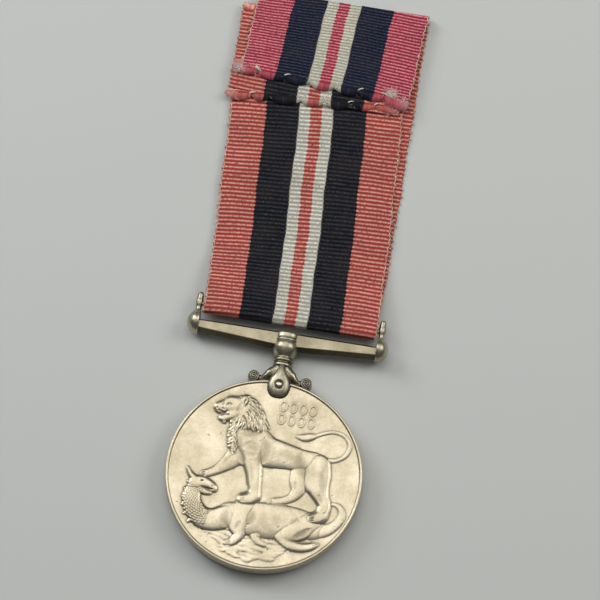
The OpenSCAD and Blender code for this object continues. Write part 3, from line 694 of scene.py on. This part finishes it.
def claw_piece():
    neck = [(0, .25), (1.0, .25), (1.15, 1.2), (1.3, 2.2), (1.55, 2.85), (1.78, 3.08), (1.88, 3.2), (1.88, 3.5),
            (1.78, 3.66), (1.66, 3.8), (1.66, 3.98), (0, 3.98)]
    # A shoulder runs down beside the toe, and a band goes on from it along the rim to the scroll.
    arm = above_rim([(.5, 3.1, .1), (1.2, 2.45, .3), (2.05, 1.6, .4), (2.55, .95, .3), (3.2, .5, .1)])
    arm += [(3.8, SCROLL_Y + .1, 0)]
    band = above_rim([(1.9, .6, 0), (3.2, .25, 0)]) + [(SCROLL_X, SCROLL_Y - .15, 0)]
    web = above_rim([(.6, 1.6, 0), (1.3, 1.1, 0), (2.1, .6, 0)])
    swell = np.interp(np.linspace(0, 1, 31), [0, .2, .4, .6, .8, 1], [.8, .78, .84, .74, .6, .5])
    shapes = [toe(1), toe(-1), turned(above_rim(neck))]
    for s in (-1, 1):
        for line, steps, radii, sides, flat in ((arm, 6, swell, 16, 1.5), (band, 6, .62, 12, 1.4), (web, 5, .9, 12, 1)):
            shapes.append(tube(curve_through(np.array(line) * (s, 1, 1), steps), radii, sides, flat))
        points, faces = turned([(0, -1.2), (SCROLL_R - .12, -1.2), (SCROLL_R, -1.05), (SCROLL_R, 1.05),
                                (SCROLL_R - .12, 1.2), (0, 1.2)], 40)
        shapes.append((points[:, [0, 2, 1]] + (s * SCROLL_X, SCROLL_Y, 0), [f[::-1] for f in faces]))
    piece = fuse("claw_cast", shapes, .055, 5)
    p = np.empty(len(piece.data.vertices) * 3)
    piece.data.vertices.foreach_get("co", p)
    p = (p.reshape(-1, 3) - CENTRE) / MM

    def spiral(width, inner, outer):
        """1 along the groove that winds out from the middle of each scroll."""
        groove = np.zeros(len(p))
        for s in (-1, 1):
            dx, dy = (p[:, 0] - s * SCROLL_X) * s, p[:, 1] - SCROLL_Y
            r = np.hypot(dx, dy)
            turn = (r - .1) / GROOVE_PITCH - np.arctan2(dy, dx) / TURN
            line = np.exp(-((turn - np.round(turn)) / width) ** 2)
            groove = np.maximum(groove, line * (r > inner) * (r < outer))
        return groove

    p[:, 2] -= np.sign(p[:, 2]) * .17 * spiral(.17, .12, SCROLL_R - .12) * smoothstep(.95, 1.1, abs(p[:, 2]))
    # Countersink round the rivet.
    r, on_toe = np.hypot(p[:, 0], p[:, 1] - TOE_Y), HALF_T + .3
    p[:, 2] -= np.sign(p[:, 2]) * .14 * np.exp(-((r - .72) / .16) ** 2) * (abs(p[:, 2]) > on_toe)
    # The disc's edge sits in the claw's throat, face to face.
    rim, throat = np.hypot(p[:, 0], p[:, 1]), DISC_R + .02
    inside = (rim < throat) & (abs(p[:, 2]) < HALF_T - .25)
    p[:, :2] *= np.where(inside, throat / np.maximum(rim, 1), 1)[:, None]
    piece.data.vertices.foreach_set("co", (p * MM + CENTRE).ravel())
    piece.data.update()
    # Painted shade where the bands lie low against the rim, and darker round the rivet, along the scroll grooves and at
    # the seam lines.
    shade_and_dirt = np.exp(-((r - .74) / .13) ** 2) * (abs(p[:, 2]) > on_toe)
    shade_and_dirt += .9 * spiral(.2, -1, SCROLL_R) * (abs(p[:, 2]) > .8)
    shade_and_dirt += .7 * sum(np.exp(-((p[:, 1] - DISC_R - y) / .1) ** 2) for y in (3.02, 3.74))
    shade_and_dirt += .5 * (abs(p[:, 2]) < HALF_T + .15) * smoothstep(DISC_R + 1.6, DISC_R + .2, p[:, 1])
    give_values(piece.data, {"crease": np.clip(shade_and_dirt, 0, 1)})
    return piece


def rivet_piece():
    """A domed head on each toe. The one at the back is peened flatter, so that the medal lies flat."""
    head, shapes = HALF_T + .9, []
    for s, dome in ((-1, .5), (1, 1)):
        points, faces = turned([(0, 0), (.5, 0), (.56, head - .12), (.55, head - .02), (.47, head + .09 * dome),
                                (.3, head + .165 * dome), (0, head + .2 * dome)], 40)
        shapes.append((points[:, [0, 2, 1]] * (1, 1, s) + (0, TOE_Y, 0), [f[::-s] for f in faces]))
    return add_mesh("claw_rivet_domed", *join(shapes))


def stem_piece():
    points, faces = turned_smooth(above_rim([
        (0, 4.02), (1.55, 4.02), (1.8, 4.08), (1.9, 4.24), (1.9, 4.46), (1.8, 4.62), (1.66, 4.78), (1.64, 4.95),
        (1.74, 5.15), (1.95, 5.45), (2.2, 5.95), (2.36, 6.5), (2.38, 6.85), (2.33, 7.3), (2.23, 7.65), (2.14, 7.82),
        (2.1, 7.9), (2.15, 7.97), (2.22, 8.08), (2.22, 8.4), (2.14, 8.48), (2.09, 8.53), (2.14, 8.6), (2.27, 8.69),
        (2.31, 8.8), (2.3, 9.3), (2.22, 9.55), (2.02, 9.75), (1.6, 9.88), (0, 9.93)]), 96)
    # The top collar is filed thinner front and back, to clear the ribbon when it swings.
    points[:, 2] *= 1 - .14 * smoothstep(DISC_R + 8.2, DISC_R + 8.9, points[:, 1])
    return add_mesh("stem_turned", points, faces)


SLOT = (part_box("bar_end_right")[0].x) / MM
BAR_TOP = DISC_R + 9.45
KNOB_Y, KNOB_R, POST_TOP = BAR_TOP - .15, 2.3, DISC_R + 15.2


def bar_piece():
    """The straight bar: bright flat faces that taper towards the knobs, with bevels above and below."""
    rings, face_z, rounding = [], 1.2, .09
    edge_z = face_z - rounding
    # Painted shade darkens the lower bevel; the top edges and upper bevel are darker too.
    shade_and_dirt = [.9, .1, 0, .1, .8, .85, .85, .85, .8, .1, 0, .1, .9, .6, .6, .6]    # round the section
    stations = np.unique(np.concatenate([np.linspace(-SLOT, SLOT, 61), [0]]))
    for x in stations:
        low = BAR_TOP - np.interp(abs(x), [0, SLOT], [2.5, 1.42])
        section = [(BAR_TOP, edge_z), (BAR_TOP - rounding, face_z), (low + rounding, face_z), (low, edge_z),
                   (low - .03, edge_z - .05), (low - .62, .12), (low - .66, 0), (low - .62, -.12),
                   (low - .03, .05 - edge_z), (low, -edge_z), (low + rounding, -face_z),
                   (BAR_TOP - rounding, -face_z), (BAR_TOP, -edge_z), (BAR_TOP + .52, -.12), (BAR_TOP + .56, 0),
                   (BAR_TOP + .52, .12)]
        rings.append([(x, y, z) for y, z in section])
    return add_mesh("bar_bevelled", *loft(rings), smooth=False, crease=shade_and_dirt * len(stations))


def knob_piece(side):
    """A half-round knob with its small post."""
    r = KNOB_R
    profile = [(0, 0), (r - .22, 0), (r - .06, .03), (r, .14), (r - .03, .26), (r - .1, .32), (r - .1, .38)]
    profile += [(r * math.cos(a) * .985, .34 + (r - .36) * math.sin(a)) for a in np.linspace(.08, math.pi / 2, 18)[:-1]]
    points, faces = turned(profile + [(0, .34 + r - .36)])
    knob = points[:, [1, 0, 2]] * (side, 1, 1) + (side * SLOT, KNOB_Y, 0), [f[::side] for f in faces]
    post = [(0, 1.2), (.56, 1.2), (.54, 2.05), (.47, 2.4), (.43, 2.75), (.46, 3.05), (.55, 3.4), (.6, 3.8), (.6, 4.1),
            (.53, 4.6)]
    post = [(x, KNOB_Y + y) for x, y in post]
    post += [(x, POST_TOP - y) for x, y in ((.49, .8), (.46, .4), (.34, .12), (.16, .02), (0, 0))]
    points, faces = turned_smooth(post, 32)
    # The post is pressed from flat stock, so it is a little wider across than it is deep.
    shaped = points * (1.16, 1, 1.3) + (side * (SLOT + .62), 0, 0)
    return fuse("bar_end_" + ("right" if side > 0 else "left") + "_cast", [knob, (shaped, faces)], .05, 2)


for piece, slot, material, node in (
        (disc_piece(), "medal_nickel", DISC_METAL, "medal_disc"),
        (claw_piece(), "suspender_nickel", DARK_METAL, "claw"),
        (rivet_piece(), "suspender_nickel", RIVET_METAL, "claw_rivet"),
        (stem_piece(), "suspender_nickel", DARK_METAL, "suspender_stem"),
        (bar_piece(), "bar_nickel", BAR_METAL, "suspender_bar"),
        (knob_piece(-1), "suspender_nickel", DARK_METAL, "bar_end_left"),
        (knob_piece(1), "suspender_nickel", DARK_METAL, "bar_end_right")):
    finish_piece(piece, "medal", slot, material, node)
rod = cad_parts["ribbon_rod"]
rod.data.materials.clear()
rod.data.materials.append(BAR_METAL)

# ---- ribbon ----
# One woven strip: flap, over the top fold, down the back, round the rod, up the front, and its inner end
# folded down again under the flap. Lengths are in millimetres.

HALF_W, HALF_TH = 16.4, 0.21
PATTERN_W = 16.0      # half the striped pattern, which the weave stretches to the width
RIB, FLAP_RIB, RIB_DEPTH = 0.82, 0.61, 0.075    # the flap is woven closer
LOOP_R, LOOP_Y = 0.81, DISC_R + 12.27
FOLD_R, FOLD_Y, FLAP_END = 0.75, DISC_R + 77.24, DISC_R + 60.3
TUCK_R, TUCK_Y, TUCK_END = 0.25, DISC_R + 74.74, DISC_R + 56.6
LAY_Y, LEAN_Y = DISC_R + 29.0, DISC_R + 15.0
BACK_Z, FRONT_Z, TUCK_Z, FLAP_Z = -2.26, -1.76, -1.26, -0.76
FLAP_LEAN, FRONT_LEAN, TUCK_LEAN, HEM_LEAN = (math.radians(a) for a in (4.4, 2.75, 3.6, 2.7))
PLY_X, FRONT_X = 0.15, -0.06
GATHER = 0.007        # how much the strip is drawn in to pass between the knobs


def ease_ply(y, z0, z1):
    return z1 + (z0 - z1) * (1 - smoothstep(LOOP_Y, LAY_Y, y))


def front_x(y):
    return FRONT_X + .27 * smoothstep(LOOP_Y, LOOP_Y + 14, y) - np.maximum(y - LEAN_Y, 0) * math.tan(FRONT_LEAN)


def ribbon_route():
    """The ribbon's centre line, from the flap's end to the tuck's: x, y, z, lean and how faded it is."""
    half_turn = lambda count: np.linspace(0, math.pi, count)[1:]
    flap, back = np.linspace(FLAP_END, FOLD_Y, 80), np.linspace(FOLD_Y, LOOP_Y, 260)[1:]
    front, tuck = np.linspace(LOOP_Y, TUCK_Y, 260)[1:], np.linspace(TUCK_Y, TUCK_END, 80)[1:]
    over_top, under_rod, inward = half_turn(26), half_turn(26), half_turn(16)
    lean = FRONT_LEAN * smoothstep(LOOP_Y, LAY_Y, front) * (1 - smoothstep(TUCK_Y - 9, TUCK_Y, front))
    legs = [
        (PLY_X - (FOLD_Y - flap) * math.tan(FLAP_LEAN), flap, FLAP_Z,
         -HEM_LEAN * (1 - smoothstep(80, FOLD_Y - .6, flap)), 0),
        (PLY_X, FOLD_Y + FOLD_R * np.sin(over_top), BACK_Z + FOLD_R + FOLD_R * np.cos(over_top), 0,
         .5 * np.sin(over_top) ** 3),
        (PLY_X * smoothstep(LOOP_Y, LAY_Y, back), back, ease_ply(back, -LOOP_R, BACK_Z), 0, 0),
        (FRONT_X * smoothstep(0, math.pi, under_rod), LOOP_Y - LOOP_R * np.sin(under_rod),
         -LOOP_R * np.cos(under_rod), 0, smoothstep(.9, 1.7, under_rod)),
        (front_x(front), front, ease_ply(front, LOOP_R, FRONT_Z), lean, 1),
        (front_x(TUCK_Y), TUCK_Y + TUCK_R * np.sin(inward), FRONT_Z + TUCK_R - TUCK_R * np.cos(inward), 0, 1),
        (front_x(TUCK_Y), tuck, TUCK_Z, -TUCK_LEAN * smoothstep(TUCK_Y, TUCK_END, TUCK_Y + TUCK_END - tuck), 1)]
    return np.vstack([np.column_stack(np.broadcast_arrays(*leg)) for leg in legs])


route = ribbon_route()
step = np.linalg.norm(np.diff(route[:, 1:3], axis=0), axis=1)
run = np.concatenate([[0], np.cumsum(step)])
RIBBON_LENGTH = run[-1]
FOLD_S, LOOP_S = run[80], run[376]    # where the top fold and the turn round the rod lie along the strip
# Slope in the YZ plane, unwound along the length so that the same face stays the same face.
heading = np.unwrap(np.arctan2(np.gradient(route[:, 2], run), np.gradient(route[:, 1], run)))
# Ribs are counted along the strip, so their number is the phase that the weave is coloured by.
pitch = FLAP_RIB + (RIB - FLAP_RIB) * smoothstep(FOLD_S - 1, FOLD_S + 3, (run[:-1] + run[1:]) / 2)
rib_count = np.concatenate([[0], np.cumsum(step / pitch)])


def lay_wave(x, y):
    """How far a ply lies above flat: the same for all the plies at a place, so that they stay apart."""
    wave = .09 * (1 + np.sin(.16 * y + .07 * x + .6)) + .05 * (1 + np.sin(.31 * y - .13 * x))
    lift = .05 * (1 + np.sin(.23 * x + 1.1)) * smoothstep(58, 70, y)
    return (wave + lift) * smoothstep(LOOP_Y + 3, LAY_Y + 4, y)


def near_rod(s):
    """1 where the strip goes round the rod, and 0 well away from it."""
    return 1 - smoothstep(9, 22, np.abs(s - LOOP_S))


def ribbon_at(s, c):
    """Place, upward and outward directions of the strip's middle surface at s along and c across."""
    x, y, z, lean = (np.interp(s, run, route[:, k]) for k in range(4))
    slope = np.interp(s, run, heading)
    x = x + .09 * np.sin(s * .37) + .05 * np.sin(s * 1.13 + 2)
    across = np.stack([np.cos(lean), np.sin(lean) * np.cos(slope), np.sin(lean) * np.sin(slope)], -1)
    up = np.stack([np.zeros_like(slope), -np.sin(slope), np.cos(slope)], -1)
    place = np.stack([x, y, z], -1) + across * (c * (1 - GATHER * near_rod(s)))[..., None]
    place[..., 2] += lay_wave(place[..., 0], place[..., 1])
    return place, up, across


def ribbon_piece(samples=5, columns=35):
    """The strip as one closed mesh, with samples rows for each rib."""
    edge = 1 - np.array([0, .006, .02])
    u = np.concatenate([-edge, np.linspace(-.955, .955, columns - 6), edge[::-1]])
    thin = np.sqrt(1 - np.clip((np.abs(u) - .972) / .028, 0, 1) ** 2) * .94 + .06
    ribs = np.arange(0, rib_count[-1], 1 / samples)
    s = np.interp(ribs, rib_count, run)
    c, along = np.meshgrid(u * HALF_W, s)
    # The ribs bow and wander a little out of square, as woven ones do.
    along += .02 * c * np.interp(along, run, route[:, 4]) - .00125 * (c * c - 90)
    along = np.clip(along + .05 * np.sin(c * .29 + along * .05) + .03 * np.sin(c * .9 + along * .3), 0, RIBBON_LENGTH)
    place, up, _ = ribbon_at(along, c)
    half = (HALF_TH - RIB_DEPTH * (1 - np.sin(math.pi * (ribs % 1)) ** .6))[:, None] * thin
    top, bottom = place + up * half[..., None], place - up * half[..., None]
    ring = np.concatenate([top, bottom[:, ::-1]], axis=1)
    points, faces = loft(ring, caps=False)
    rows, width = ring.shape[:2]
    for start, way in ((0, -1), ((rows - 1) * width, 1)):
        for k in range(columns - 1):
            cap = [start + k, start + k + 1, start + width - 2 - k, start + width - 1 - k]
            faces.append(cap[::way])
    full = np.broadcast_to(s[:, None], c.shape)
    # The back ply's right edge shows past the front one, so it has faded with it.
    shown = smoothstep(12.6, 14.2, c) * smoothstep(FOLD_S + 1, FOLD_S + 4, full)
    values = {"across": c * (PATTERN_W / HALF_W), "along": np.broadcast_to(ribs[:, None], c.shape),
              "fade": np.maximum(np.interp(full, run, route[:, 4]), shown)}
    return add_mesh("ribbon_woven", points, faces,
                    **{key: np.concatenate([v, v[:, ::-1]], axis=1).ravel() for key, v in values.items()})


def weave():
    """Ribbed silk in stripes: painted shade between the ribs and pale on them, partly worn and partly a painted
    highlight, fresh or faded, with worn patches.
    """
    s = Shader("ribbon_weave")
    across, along, fade = s.value("across"), s.value("along"), s.value("fade")
    thread = s.noise(s.join(s.line(across, 1.7), s.line(along, .9)), 1.5, 2, .6)
    cloth = s.join(across, along)
    patch, fleck = s.noise(cloth, .16, 5, .6), s.noise(cloth, 2.6, 3, .7)
    crest = s.line(s.math("COSINE", s.line(along, TURN)), -.5, .5)
    edge = s.line(crest, .12, s.line(thread, .34, -.2))
    x = s.math("DIVIDE", s.math("ADD", s.math("ABSOLUTE", across), edge), PATTERN_W)

    def stripes(red, navy, white):
        stops = []    # a stripe changes 1.1, 3.2 and 9.4 mm from the middle, either side of it
        for at, left, right in ((1.1, red, white), (3.2, white, navy), (9.4, navy, red)):
            stops += [((at - .06) / PATTERN_W, left), ((at + .06) / PATTERN_W, right)]
        return s.ramp(x, stops)

    fresh = stripes(rgb(164, 42, 66), rgb(8, 14, 32), rgb(184, 181, 160))
    fresh_crest = stripes(rgb(244, 158, 168), rgb(58, 68, 96), rgb(244, 242, 228))
    faded = stripes(rgb(168, 66, 58), rgb(9, 12, 19), rgb(182, 180, 164))
    faded_crest = stripes(rgb(240, 176, 162), rgb(54, 57, 67), rgb(250, 249, 238))
    # Pale rib crests: partly worn, and partly a painted highlight broken up along the threads.
    pale = s.line(s.math("POWER", crest, 2.6), s.line(thread, 4.2, -1.25), clamp=True)
    age = s.math("ADD", fade, s.line(patch, .5, -.25), clamp=True)
    colour = s.mix(age, s.mix(pale, fresh, fresh_crest), s.mix(pale, faded, faded_crest))
    # Painted shade in the valleys between the ribs.
    colour = s.mix(s.ramp(crest, [(0.0, .42), (.22, 0.0)]), colour, s.mix(.5, colour, rgb(12, 10, 12)))
    # Painted glints on the rib crests, in flecks.
    colour = s.mix(s.line(s.ramp(fleck, [(.60, 0.0), (.74, .38)]), crest), colour, rgb(208, 198, 186))
    colour = s.mix(s.ramp(patch, [(.30, .30), (.62, 0.0)]), colour, s.mix(.75, colour, rgb(70, 58, 52)))
    lint = s.line(s.value("bleach"), s.line(fleck, .8, .6), clamp=True)
    s.set(Base_Color=s.mix(lint, colour, rgb(236, 222, 214)), Roughness=s.line(thread, .2, .66),
          Sheen_Weight=.06, Sheen_Roughness=.5, Specular_IOR_Level=.12,
          Normal=s.bump(thread, .035, .8, s.bump(fleck, .02, .6)))
    return s.material


def thread_cloth(name, colour, shade):
    s = Shader(name)
    twist, cloud = s.noise(s.place((6, 1.5, 6)), 1.4, 3, .6), s.noise(s.place(), .9, 4, .6)
    s.set(Base_Color=s.mix(s.ramp(cloud, [(.38, 0.0), (.66, 1.0)]), colour, shade),
          Roughness=s.line(twist, .2, .62), Normal=s.bump(twist, .03), Sheen_Weight=.2)
    return s.material


WEAVE = weave()
THREAD = thread_cloth("stitch_thread", rgb(238, 234, 222), rgb(186, 180, 164))
SELVAGE = thread_cloth("selvage_thread", rgb(232, 214, 188), rgb(200, 132, 118))

ribbon = finish_piece(ribbon_piece(), "ribbon_strip", "ribbon_weave", WEAVE, "ribbon")

# The hems: the cut ends are turned under and whipped down, so they bulge between the stitches.
HEM_OVERHANG = .12    # how far a hem stands past the ribbon's right edge


def hem_frame(end, lean, x, z):
    """Origin, across and down directions of a hem, in the plane of the ribbon."""
    return (np.array([x, end, z]), np.array([math.cos(lean), -math.sin(lean), 0]),
            np.array([-math.sin(lean), -math.cos(lean), 0]))


FLAP_HEM = hem_frame(FLAP_END + .15, HEM_LEAN, PLY_X - (FOLD_Y - FLAP_END) * math.tan(FLAP_LEAN), FLAP_Z)
TUCK_HEM = hem_frame(TUCK_END + .45, -TUCK_LEAN, float(front_x(TUCK_Y)), TUCK_Z)
# Each hem's pinches: place across the ribbon, turn in degrees, and the thread's thickness, or 0 where none shows.
# Then its lobes: how far it hangs between two pinches. Then its fade, seed and reach past the left edge.
HEMS = {"flap": (FLAP_HEM, [(-13, 30, .32), (-7.3, -20, .15), (-2.9, 70, .11), (2.1, 0, 0), (7, -30, .15),
                            (11.6, 20, .18)], [.55, .66, .58, .74, .66, .95, 1.85], .05, 3, 1.1),
        "tuck": (TUCK_HEM, [(-11.8, -12, .17), (-8.3, 0, 0), (-2.5, 0, 0), (2.2, 60, .13), (7.1, -14, .13),
                            (12, -30, .12)], [.75, .55, .75, .62, .8, .62, .9], .95, 5, .7)}


def lobe_depth(c, stitches, lobes):
    """How far the hem hangs at c across, and how full it is, from 0 at a stitch to 1 between two."""
    knots = [-HALF_W - 1.2] + [x for x, *_ in stitches] + [HALF_W + 1.2]
    full, hang = np.zeros_like(c), np.zeros_like(c)
    for left, right, depth in zip(knots, knots[1:], lobes):
        inside = (c >= left) & (c <= right)
        arc = np.sin(math.pi * np.clip((c - left) / (right - left), 0, 1)) ** .62
        full, hang = np.where(inside, arc, full), np.where(inside, arc * depth, hang)
    return hang, full


def ripple(x, sizes, speeds, rng):
    """A sum of sine waves that start at random."""
    return sum(a * np.sin(x * f + p) for a, f, p in zip(sizes, speeds, rng.uniform(0, 6.3, len(sizes))))


def hem_piece(name, place, stitches, lobes, fade, seed, left):
    """A hem as a closed roll. left is how far it stands past the ribbon's left edge."""
    origin, across, down = place
    count, sides = 300, 30
    first, last = -HALF_W - left, HALF_W + HEM_OVERHANG
    c = np.linspace(first, last, count)
    hang, full = lobe_depth(c, stitches, lobes)
    wobble = ripple(c, (.12, .08, .06, .05), (2.1, 4.3, 7.9, 12.7), np.random.default_rng(seed))
    taper = np.clip(np.minimum((c - first) / (.4 + left), (last - c) / .5), .02, 1) ** .5
    length = (.62 + .36 * full + .16 * hang) * taper
    middle = -.42 + .80 * hang + .10 * wobble
    tall = (.24 + .36 * full + .12 * hang + .04 * wobble) * taper
    points, below = [], []
    for k in range(sides):
        t = TURN * k / sides
        cos, sin = math.cos(t), math.sin(t)
        d = middle + length * cos
        if sin > 0:    # the upper side swells slowly from the ply and drops off at the edge
            lump = .035 * np.sin(9.1 * c + 2.2 * sin + 5 * cos)
            lift = tall * math.sin(math.pi * ((1 + cos) / 2) ** 1.5) ** .8 + lump * sin
        else:
            lift = np.full(count, .17 * sin)
        squeeze = np.clip(c + .25 * np.sin(c * 2.3 + 1.0) * cos * full, first - .1, HALF_W + .3)
        p = origin + np.outer(squeeze, across) + np.outer(d, down)
        p[:, 2] += lift + lay_wave(p[:, 0], p[:, 1])
        points.append(p)
        below.append(d)
    spread = np.repeat(c, sides) * (PATTERN_W / HALF_W)
    return add_mesh(name, *loft(np.stack(points, 1)), across=spread,
                    along=np.minimum(np.stack(below, 1).ravel() * 1.1 + .4, .27),
                    fade=np.full(len(spread), fade), bleach=.315 * smoothstep(14.2, 16.2, np.abs(spread)))


def stitches_piece(name, place, stitches):
    """Short threads across the pinches, each of two plies twisted round each other."""
    origin, across, down = place
    shapes = []
    for c, turn, thick in stitches:
        if not thick:
            continue
        way = across * math.cos(math.radians(turn)) + down * math.sin(math.radians(turn))
        centre = origin + across * c - down * .42
        centre[2] += .26 + lay_wave(centre[0], centre[1])
        line = [centre + way * .58 * t + UP * (.22 * (1 - abs(t) ** 2.4) - .20 * abs(t) ** 6 + thick * .3)
                for t in np.linspace(-1, 1, 13)]
        for ply in (0, math.pi):
            twisted = [p + .42 * thick * (math.cos(3 * i + ply) * down + math.sin(3 * i + ply) * UP)
                       for i, p in enumerate(line)]
            shapes.append(tube(curve_through(twisted, 3), thick * .72, 8))
    return add_mesh(name, *join(shapes))


hems = [finish_piece(hem_piece("hem_" + name, *hem), "ribbon_strip", "ribbon_weave", WEAVE)
        for name, hem in HEMS.items()]
for name, (place, stitches, *_) in HEMS.items():
    finish_piece(stitches_piece("stitches_" + name, place, stitches), "ribbon_strip", "thread", THREAD,
                 name + "_stitches")


LOOP_PITCH = 1.5
EDGE_IN = .34         # how far inside the edge its threads are rooted


def selvage_piece():
    """The woven edges: a pale thread that runs along each, with small weft loops round it."""
    rng = np.random.default_rng(11)
    shapes = []

    def edge_line(at, side, out, turn, size):
        """Points that stand out of the edge by out, turned round it, and never under the table."""
        place, up, across = ribbon_at(at, np.full(len(at), side * (HALF_W - EDGE_IN)))
        out = out * (1 - .8 * near_rod(at)) + EDGE_IN
        line = place + across * (side * out * np.cos(turn))[:, None] + up * (HALF_TH * np.sin(turn))[:, None]
        line[:, 2] = np.maximum(line[:, 2], TABLE_Z + size)
        return line

    for side in (-1, 1):
        at = np.arange(.2, RIBBON_LENGTH - .2, .25)
        wander = ripple(at, (.05, .05, .04), (4.19, 2.6, 7.1), rng)
        shapes.append(tube(edge_line(at, side, .02 + wander, .9 + .4 * np.sin(at * 4.19), .1), .075, 6))
        for s in np.arange(.9 + (LOOP_PITCH / 2 if side > 0 else 0), RIBBON_LENGTH - .8, LOOP_PITCH):
            at = s + rng.uniform(-.2, .2)
            skew, out, size = rng.uniform(-.3, .36), rng.uniform(.08, .3), rng.uniform(.1, .14)
            t = np.linspace(-1, 1, 7)
            radii = [size * .7] + [size] * 5 + [size * .7]
            shapes.append(tube(edge_line(at + skew * t, side, out, t * 1.45, size), radii, 6))
    return add_mesh("ribbon_selvage", *join(shapes))


def fibre_piece():
    """Loose fibres at the cut ends: soft tufts at the corners and short hairs along the hems."""
    rng = np.random.default_rng(23)
    shapes, values = [], []
    # Each tuft: its hem, place across and down it, spread, count, length, and how pale it is.
    tufts = [(FLAP_HEM, -16.6, -.2, .6, 90, 1.4, .8), (FLAP_HEM, -14.2, -.2, .9, 24, 1.1, .35),
             (FLAP_HEM, 13.0, -.8, .8, 120, 1.2, 1.1), (FLAP_HEM, 15.6, .3, .6, 40, 1.3, .7),
             (FLAP_HEM, 14.0, 1.5, 1.2, 40, 1.0, .3), (TUCK_HEM, -15.4, .2, .8, 44, 1.2, .4),
             (TUCK_HEM, 14.8, .3, .9, 36, 1.2, .35), (TUCK_HEM, 2.4, .3, .5, 14, .9, .7)]
    for place in (FLAP_HEM, TUCK_HEM):
        for c in rng.uniform(-15.5, 15.5, 70):
            tufts.append((place, c, .25, .25, 1, .75, rng.choice([.1, .15, .5])))
    for place, middle, drop, spread, count, long, bleach in tufts:
        origin, across, down = place
        for _ in range(count):
            c, d = middle + rng.normal(0, spread * .6), drop + rng.normal(0, spread * .5)
            point = origin + across * c + down * d
            point[2] += rng.uniform(.1, .45) + float(lay_wave(point[0], point[1]))
            heading = rng.uniform(0, TURN)
            line = [point]
            for _ in range(6):
                heading += rng.normal(0, .7)
                rise = rng.normal(.0, .35)
                point = point + long * rng.uniform(.12, .24) * np.array([*towards(heading), rise])
                point[2] = max(point[2], origin[2] - .1)
                line.append(point)
            points, faces = tube(line, np.linspace(.052, .02, 7), 4)
            shapes.append((points, faces))
            fade = 0.0 if place is FLAP_HEM else 1.0
            values += [(c, .5, fade, bleach * rng.uniform(.6, 1.2))] * len(points)
    across, along, fade, bleach = zip(*values)
    return add_mesh("hem_fibres", *join(shapes), across=across, along=along, fade=fade, bleach=bleach)


selvage = finish_piece(selvage_piece(), "ribbon_strip", "thread", SELVAGE)
fibres = finish_piece(fibre_piece(), "ribbon_strip", "ribbon_weave", WEAVE)

# ---- floor, light and camera ----

FLOOR_HALF = 900
floor_shader = Shader("floor_card")
floor_shader.set(Base_Color=rgb(206, 209, 206), Roughness=0.75)
floor = add_mesh("floor", [(x * FLOOR_HALF, y * FLOOR_HALF, TABLE_Z) for x, y in ((-1, -1), (1, -1), (1, 1), (-1, 1))],
                 [[0, 1, 2, 3]], smooth=False)
floor.data.materials.append(floor_shader.material)


def softbox(name, where, size, power, colour, aim=(0, 30, 0)):
    """An area light at where, in millimetres about the disc's centre, turned to aim."""
    light = bpy.data.lights.new(name, "AREA")
    light.shape = "RECTANGLE"
    light.size, light.size_y = size[0] * MM, size[1] * MM
    light.energy = power
    light.color = colour
    lamp = link_object(name, light)
    lamp.location = Vector(CENTRE + np.array(where) * MM)
    lamp.rotation_euler = Vector(np.array(where) - np.array(aim)).to_track_quat("Z", "Y").to_euler()


softbox("key", (-85, 215, 550), (520, 460), 1.25, (1.0, 0.975, 0.94))
softbox("side", (-430, 260, 330), (260, 260), 1.2, (0.96, 0.98, 1.0))
softbox("fill", (380, 220, 390), (300, 280), 0.95, (1.0, 0.98, 0.95))

# The room is dim below and paler above.
world = bpy.data.worlds.new("room")
bpy.context.scene.world = world
world.use_nodes = True
nodes, links = world.node_tree.nodes, world.node_tree.links
direction, split, sky = (nodes.new("ShaderNode" + kind) for kind in ("TexCoord", "SeparateXYZ", "ValToRGB"))
links.new(direction.outputs["Generated"], split.inputs[0])
links.new(split.outputs["Z"], sky.inputs[0])
links.new(sky.outputs[0], nodes["Background"].inputs["Color"])
sky.color_ramp.elements[0].color = (.05, .05, .055, 1)
sky.color_ramp.elements[1].color = (.62, .63, .65, 1)
nodes["Background"].inputs["Strength"].default_value = 0.32
bpy.context.scene.view_settings.view_transform = "Standard"

# The camera was fitted to the photograph: its turn in radians, and its way and distance from what it aims at.
CAMERA_Z, CAMERA_X, CAMERA_Y = 0.166237934, 0.325113693, -0.023107753
AIM_MM, CAMERA_WAY, CAMERA_FAR = (1.206, 34.223, 1.43), (0.03005, -0.31876, 0.94737), 0.6
lens = bpy.data.cameras.new("camera")
lens.lens, lens.sensor_width = 193.58, 36
lens.clip_start, lens.clip_end = 0.01, 10
camera = link_object("camera", lens)
place = CENTRE + np.array(AIM_MM) * MM + CAMERA_FAR * np.array(CAMERA_WAY)
camera.matrix_world = (Matrix.Translation(Vector(place)) @ Matrix.Rotation(CAMERA_Z, 4, "Z")
                       @ Matrix.Rotation(CAMERA_X, 4, "X") @ Matrix.Rotation(CAMERA_Y, 4, "Y"))
bpy.context.scene.camera = camera
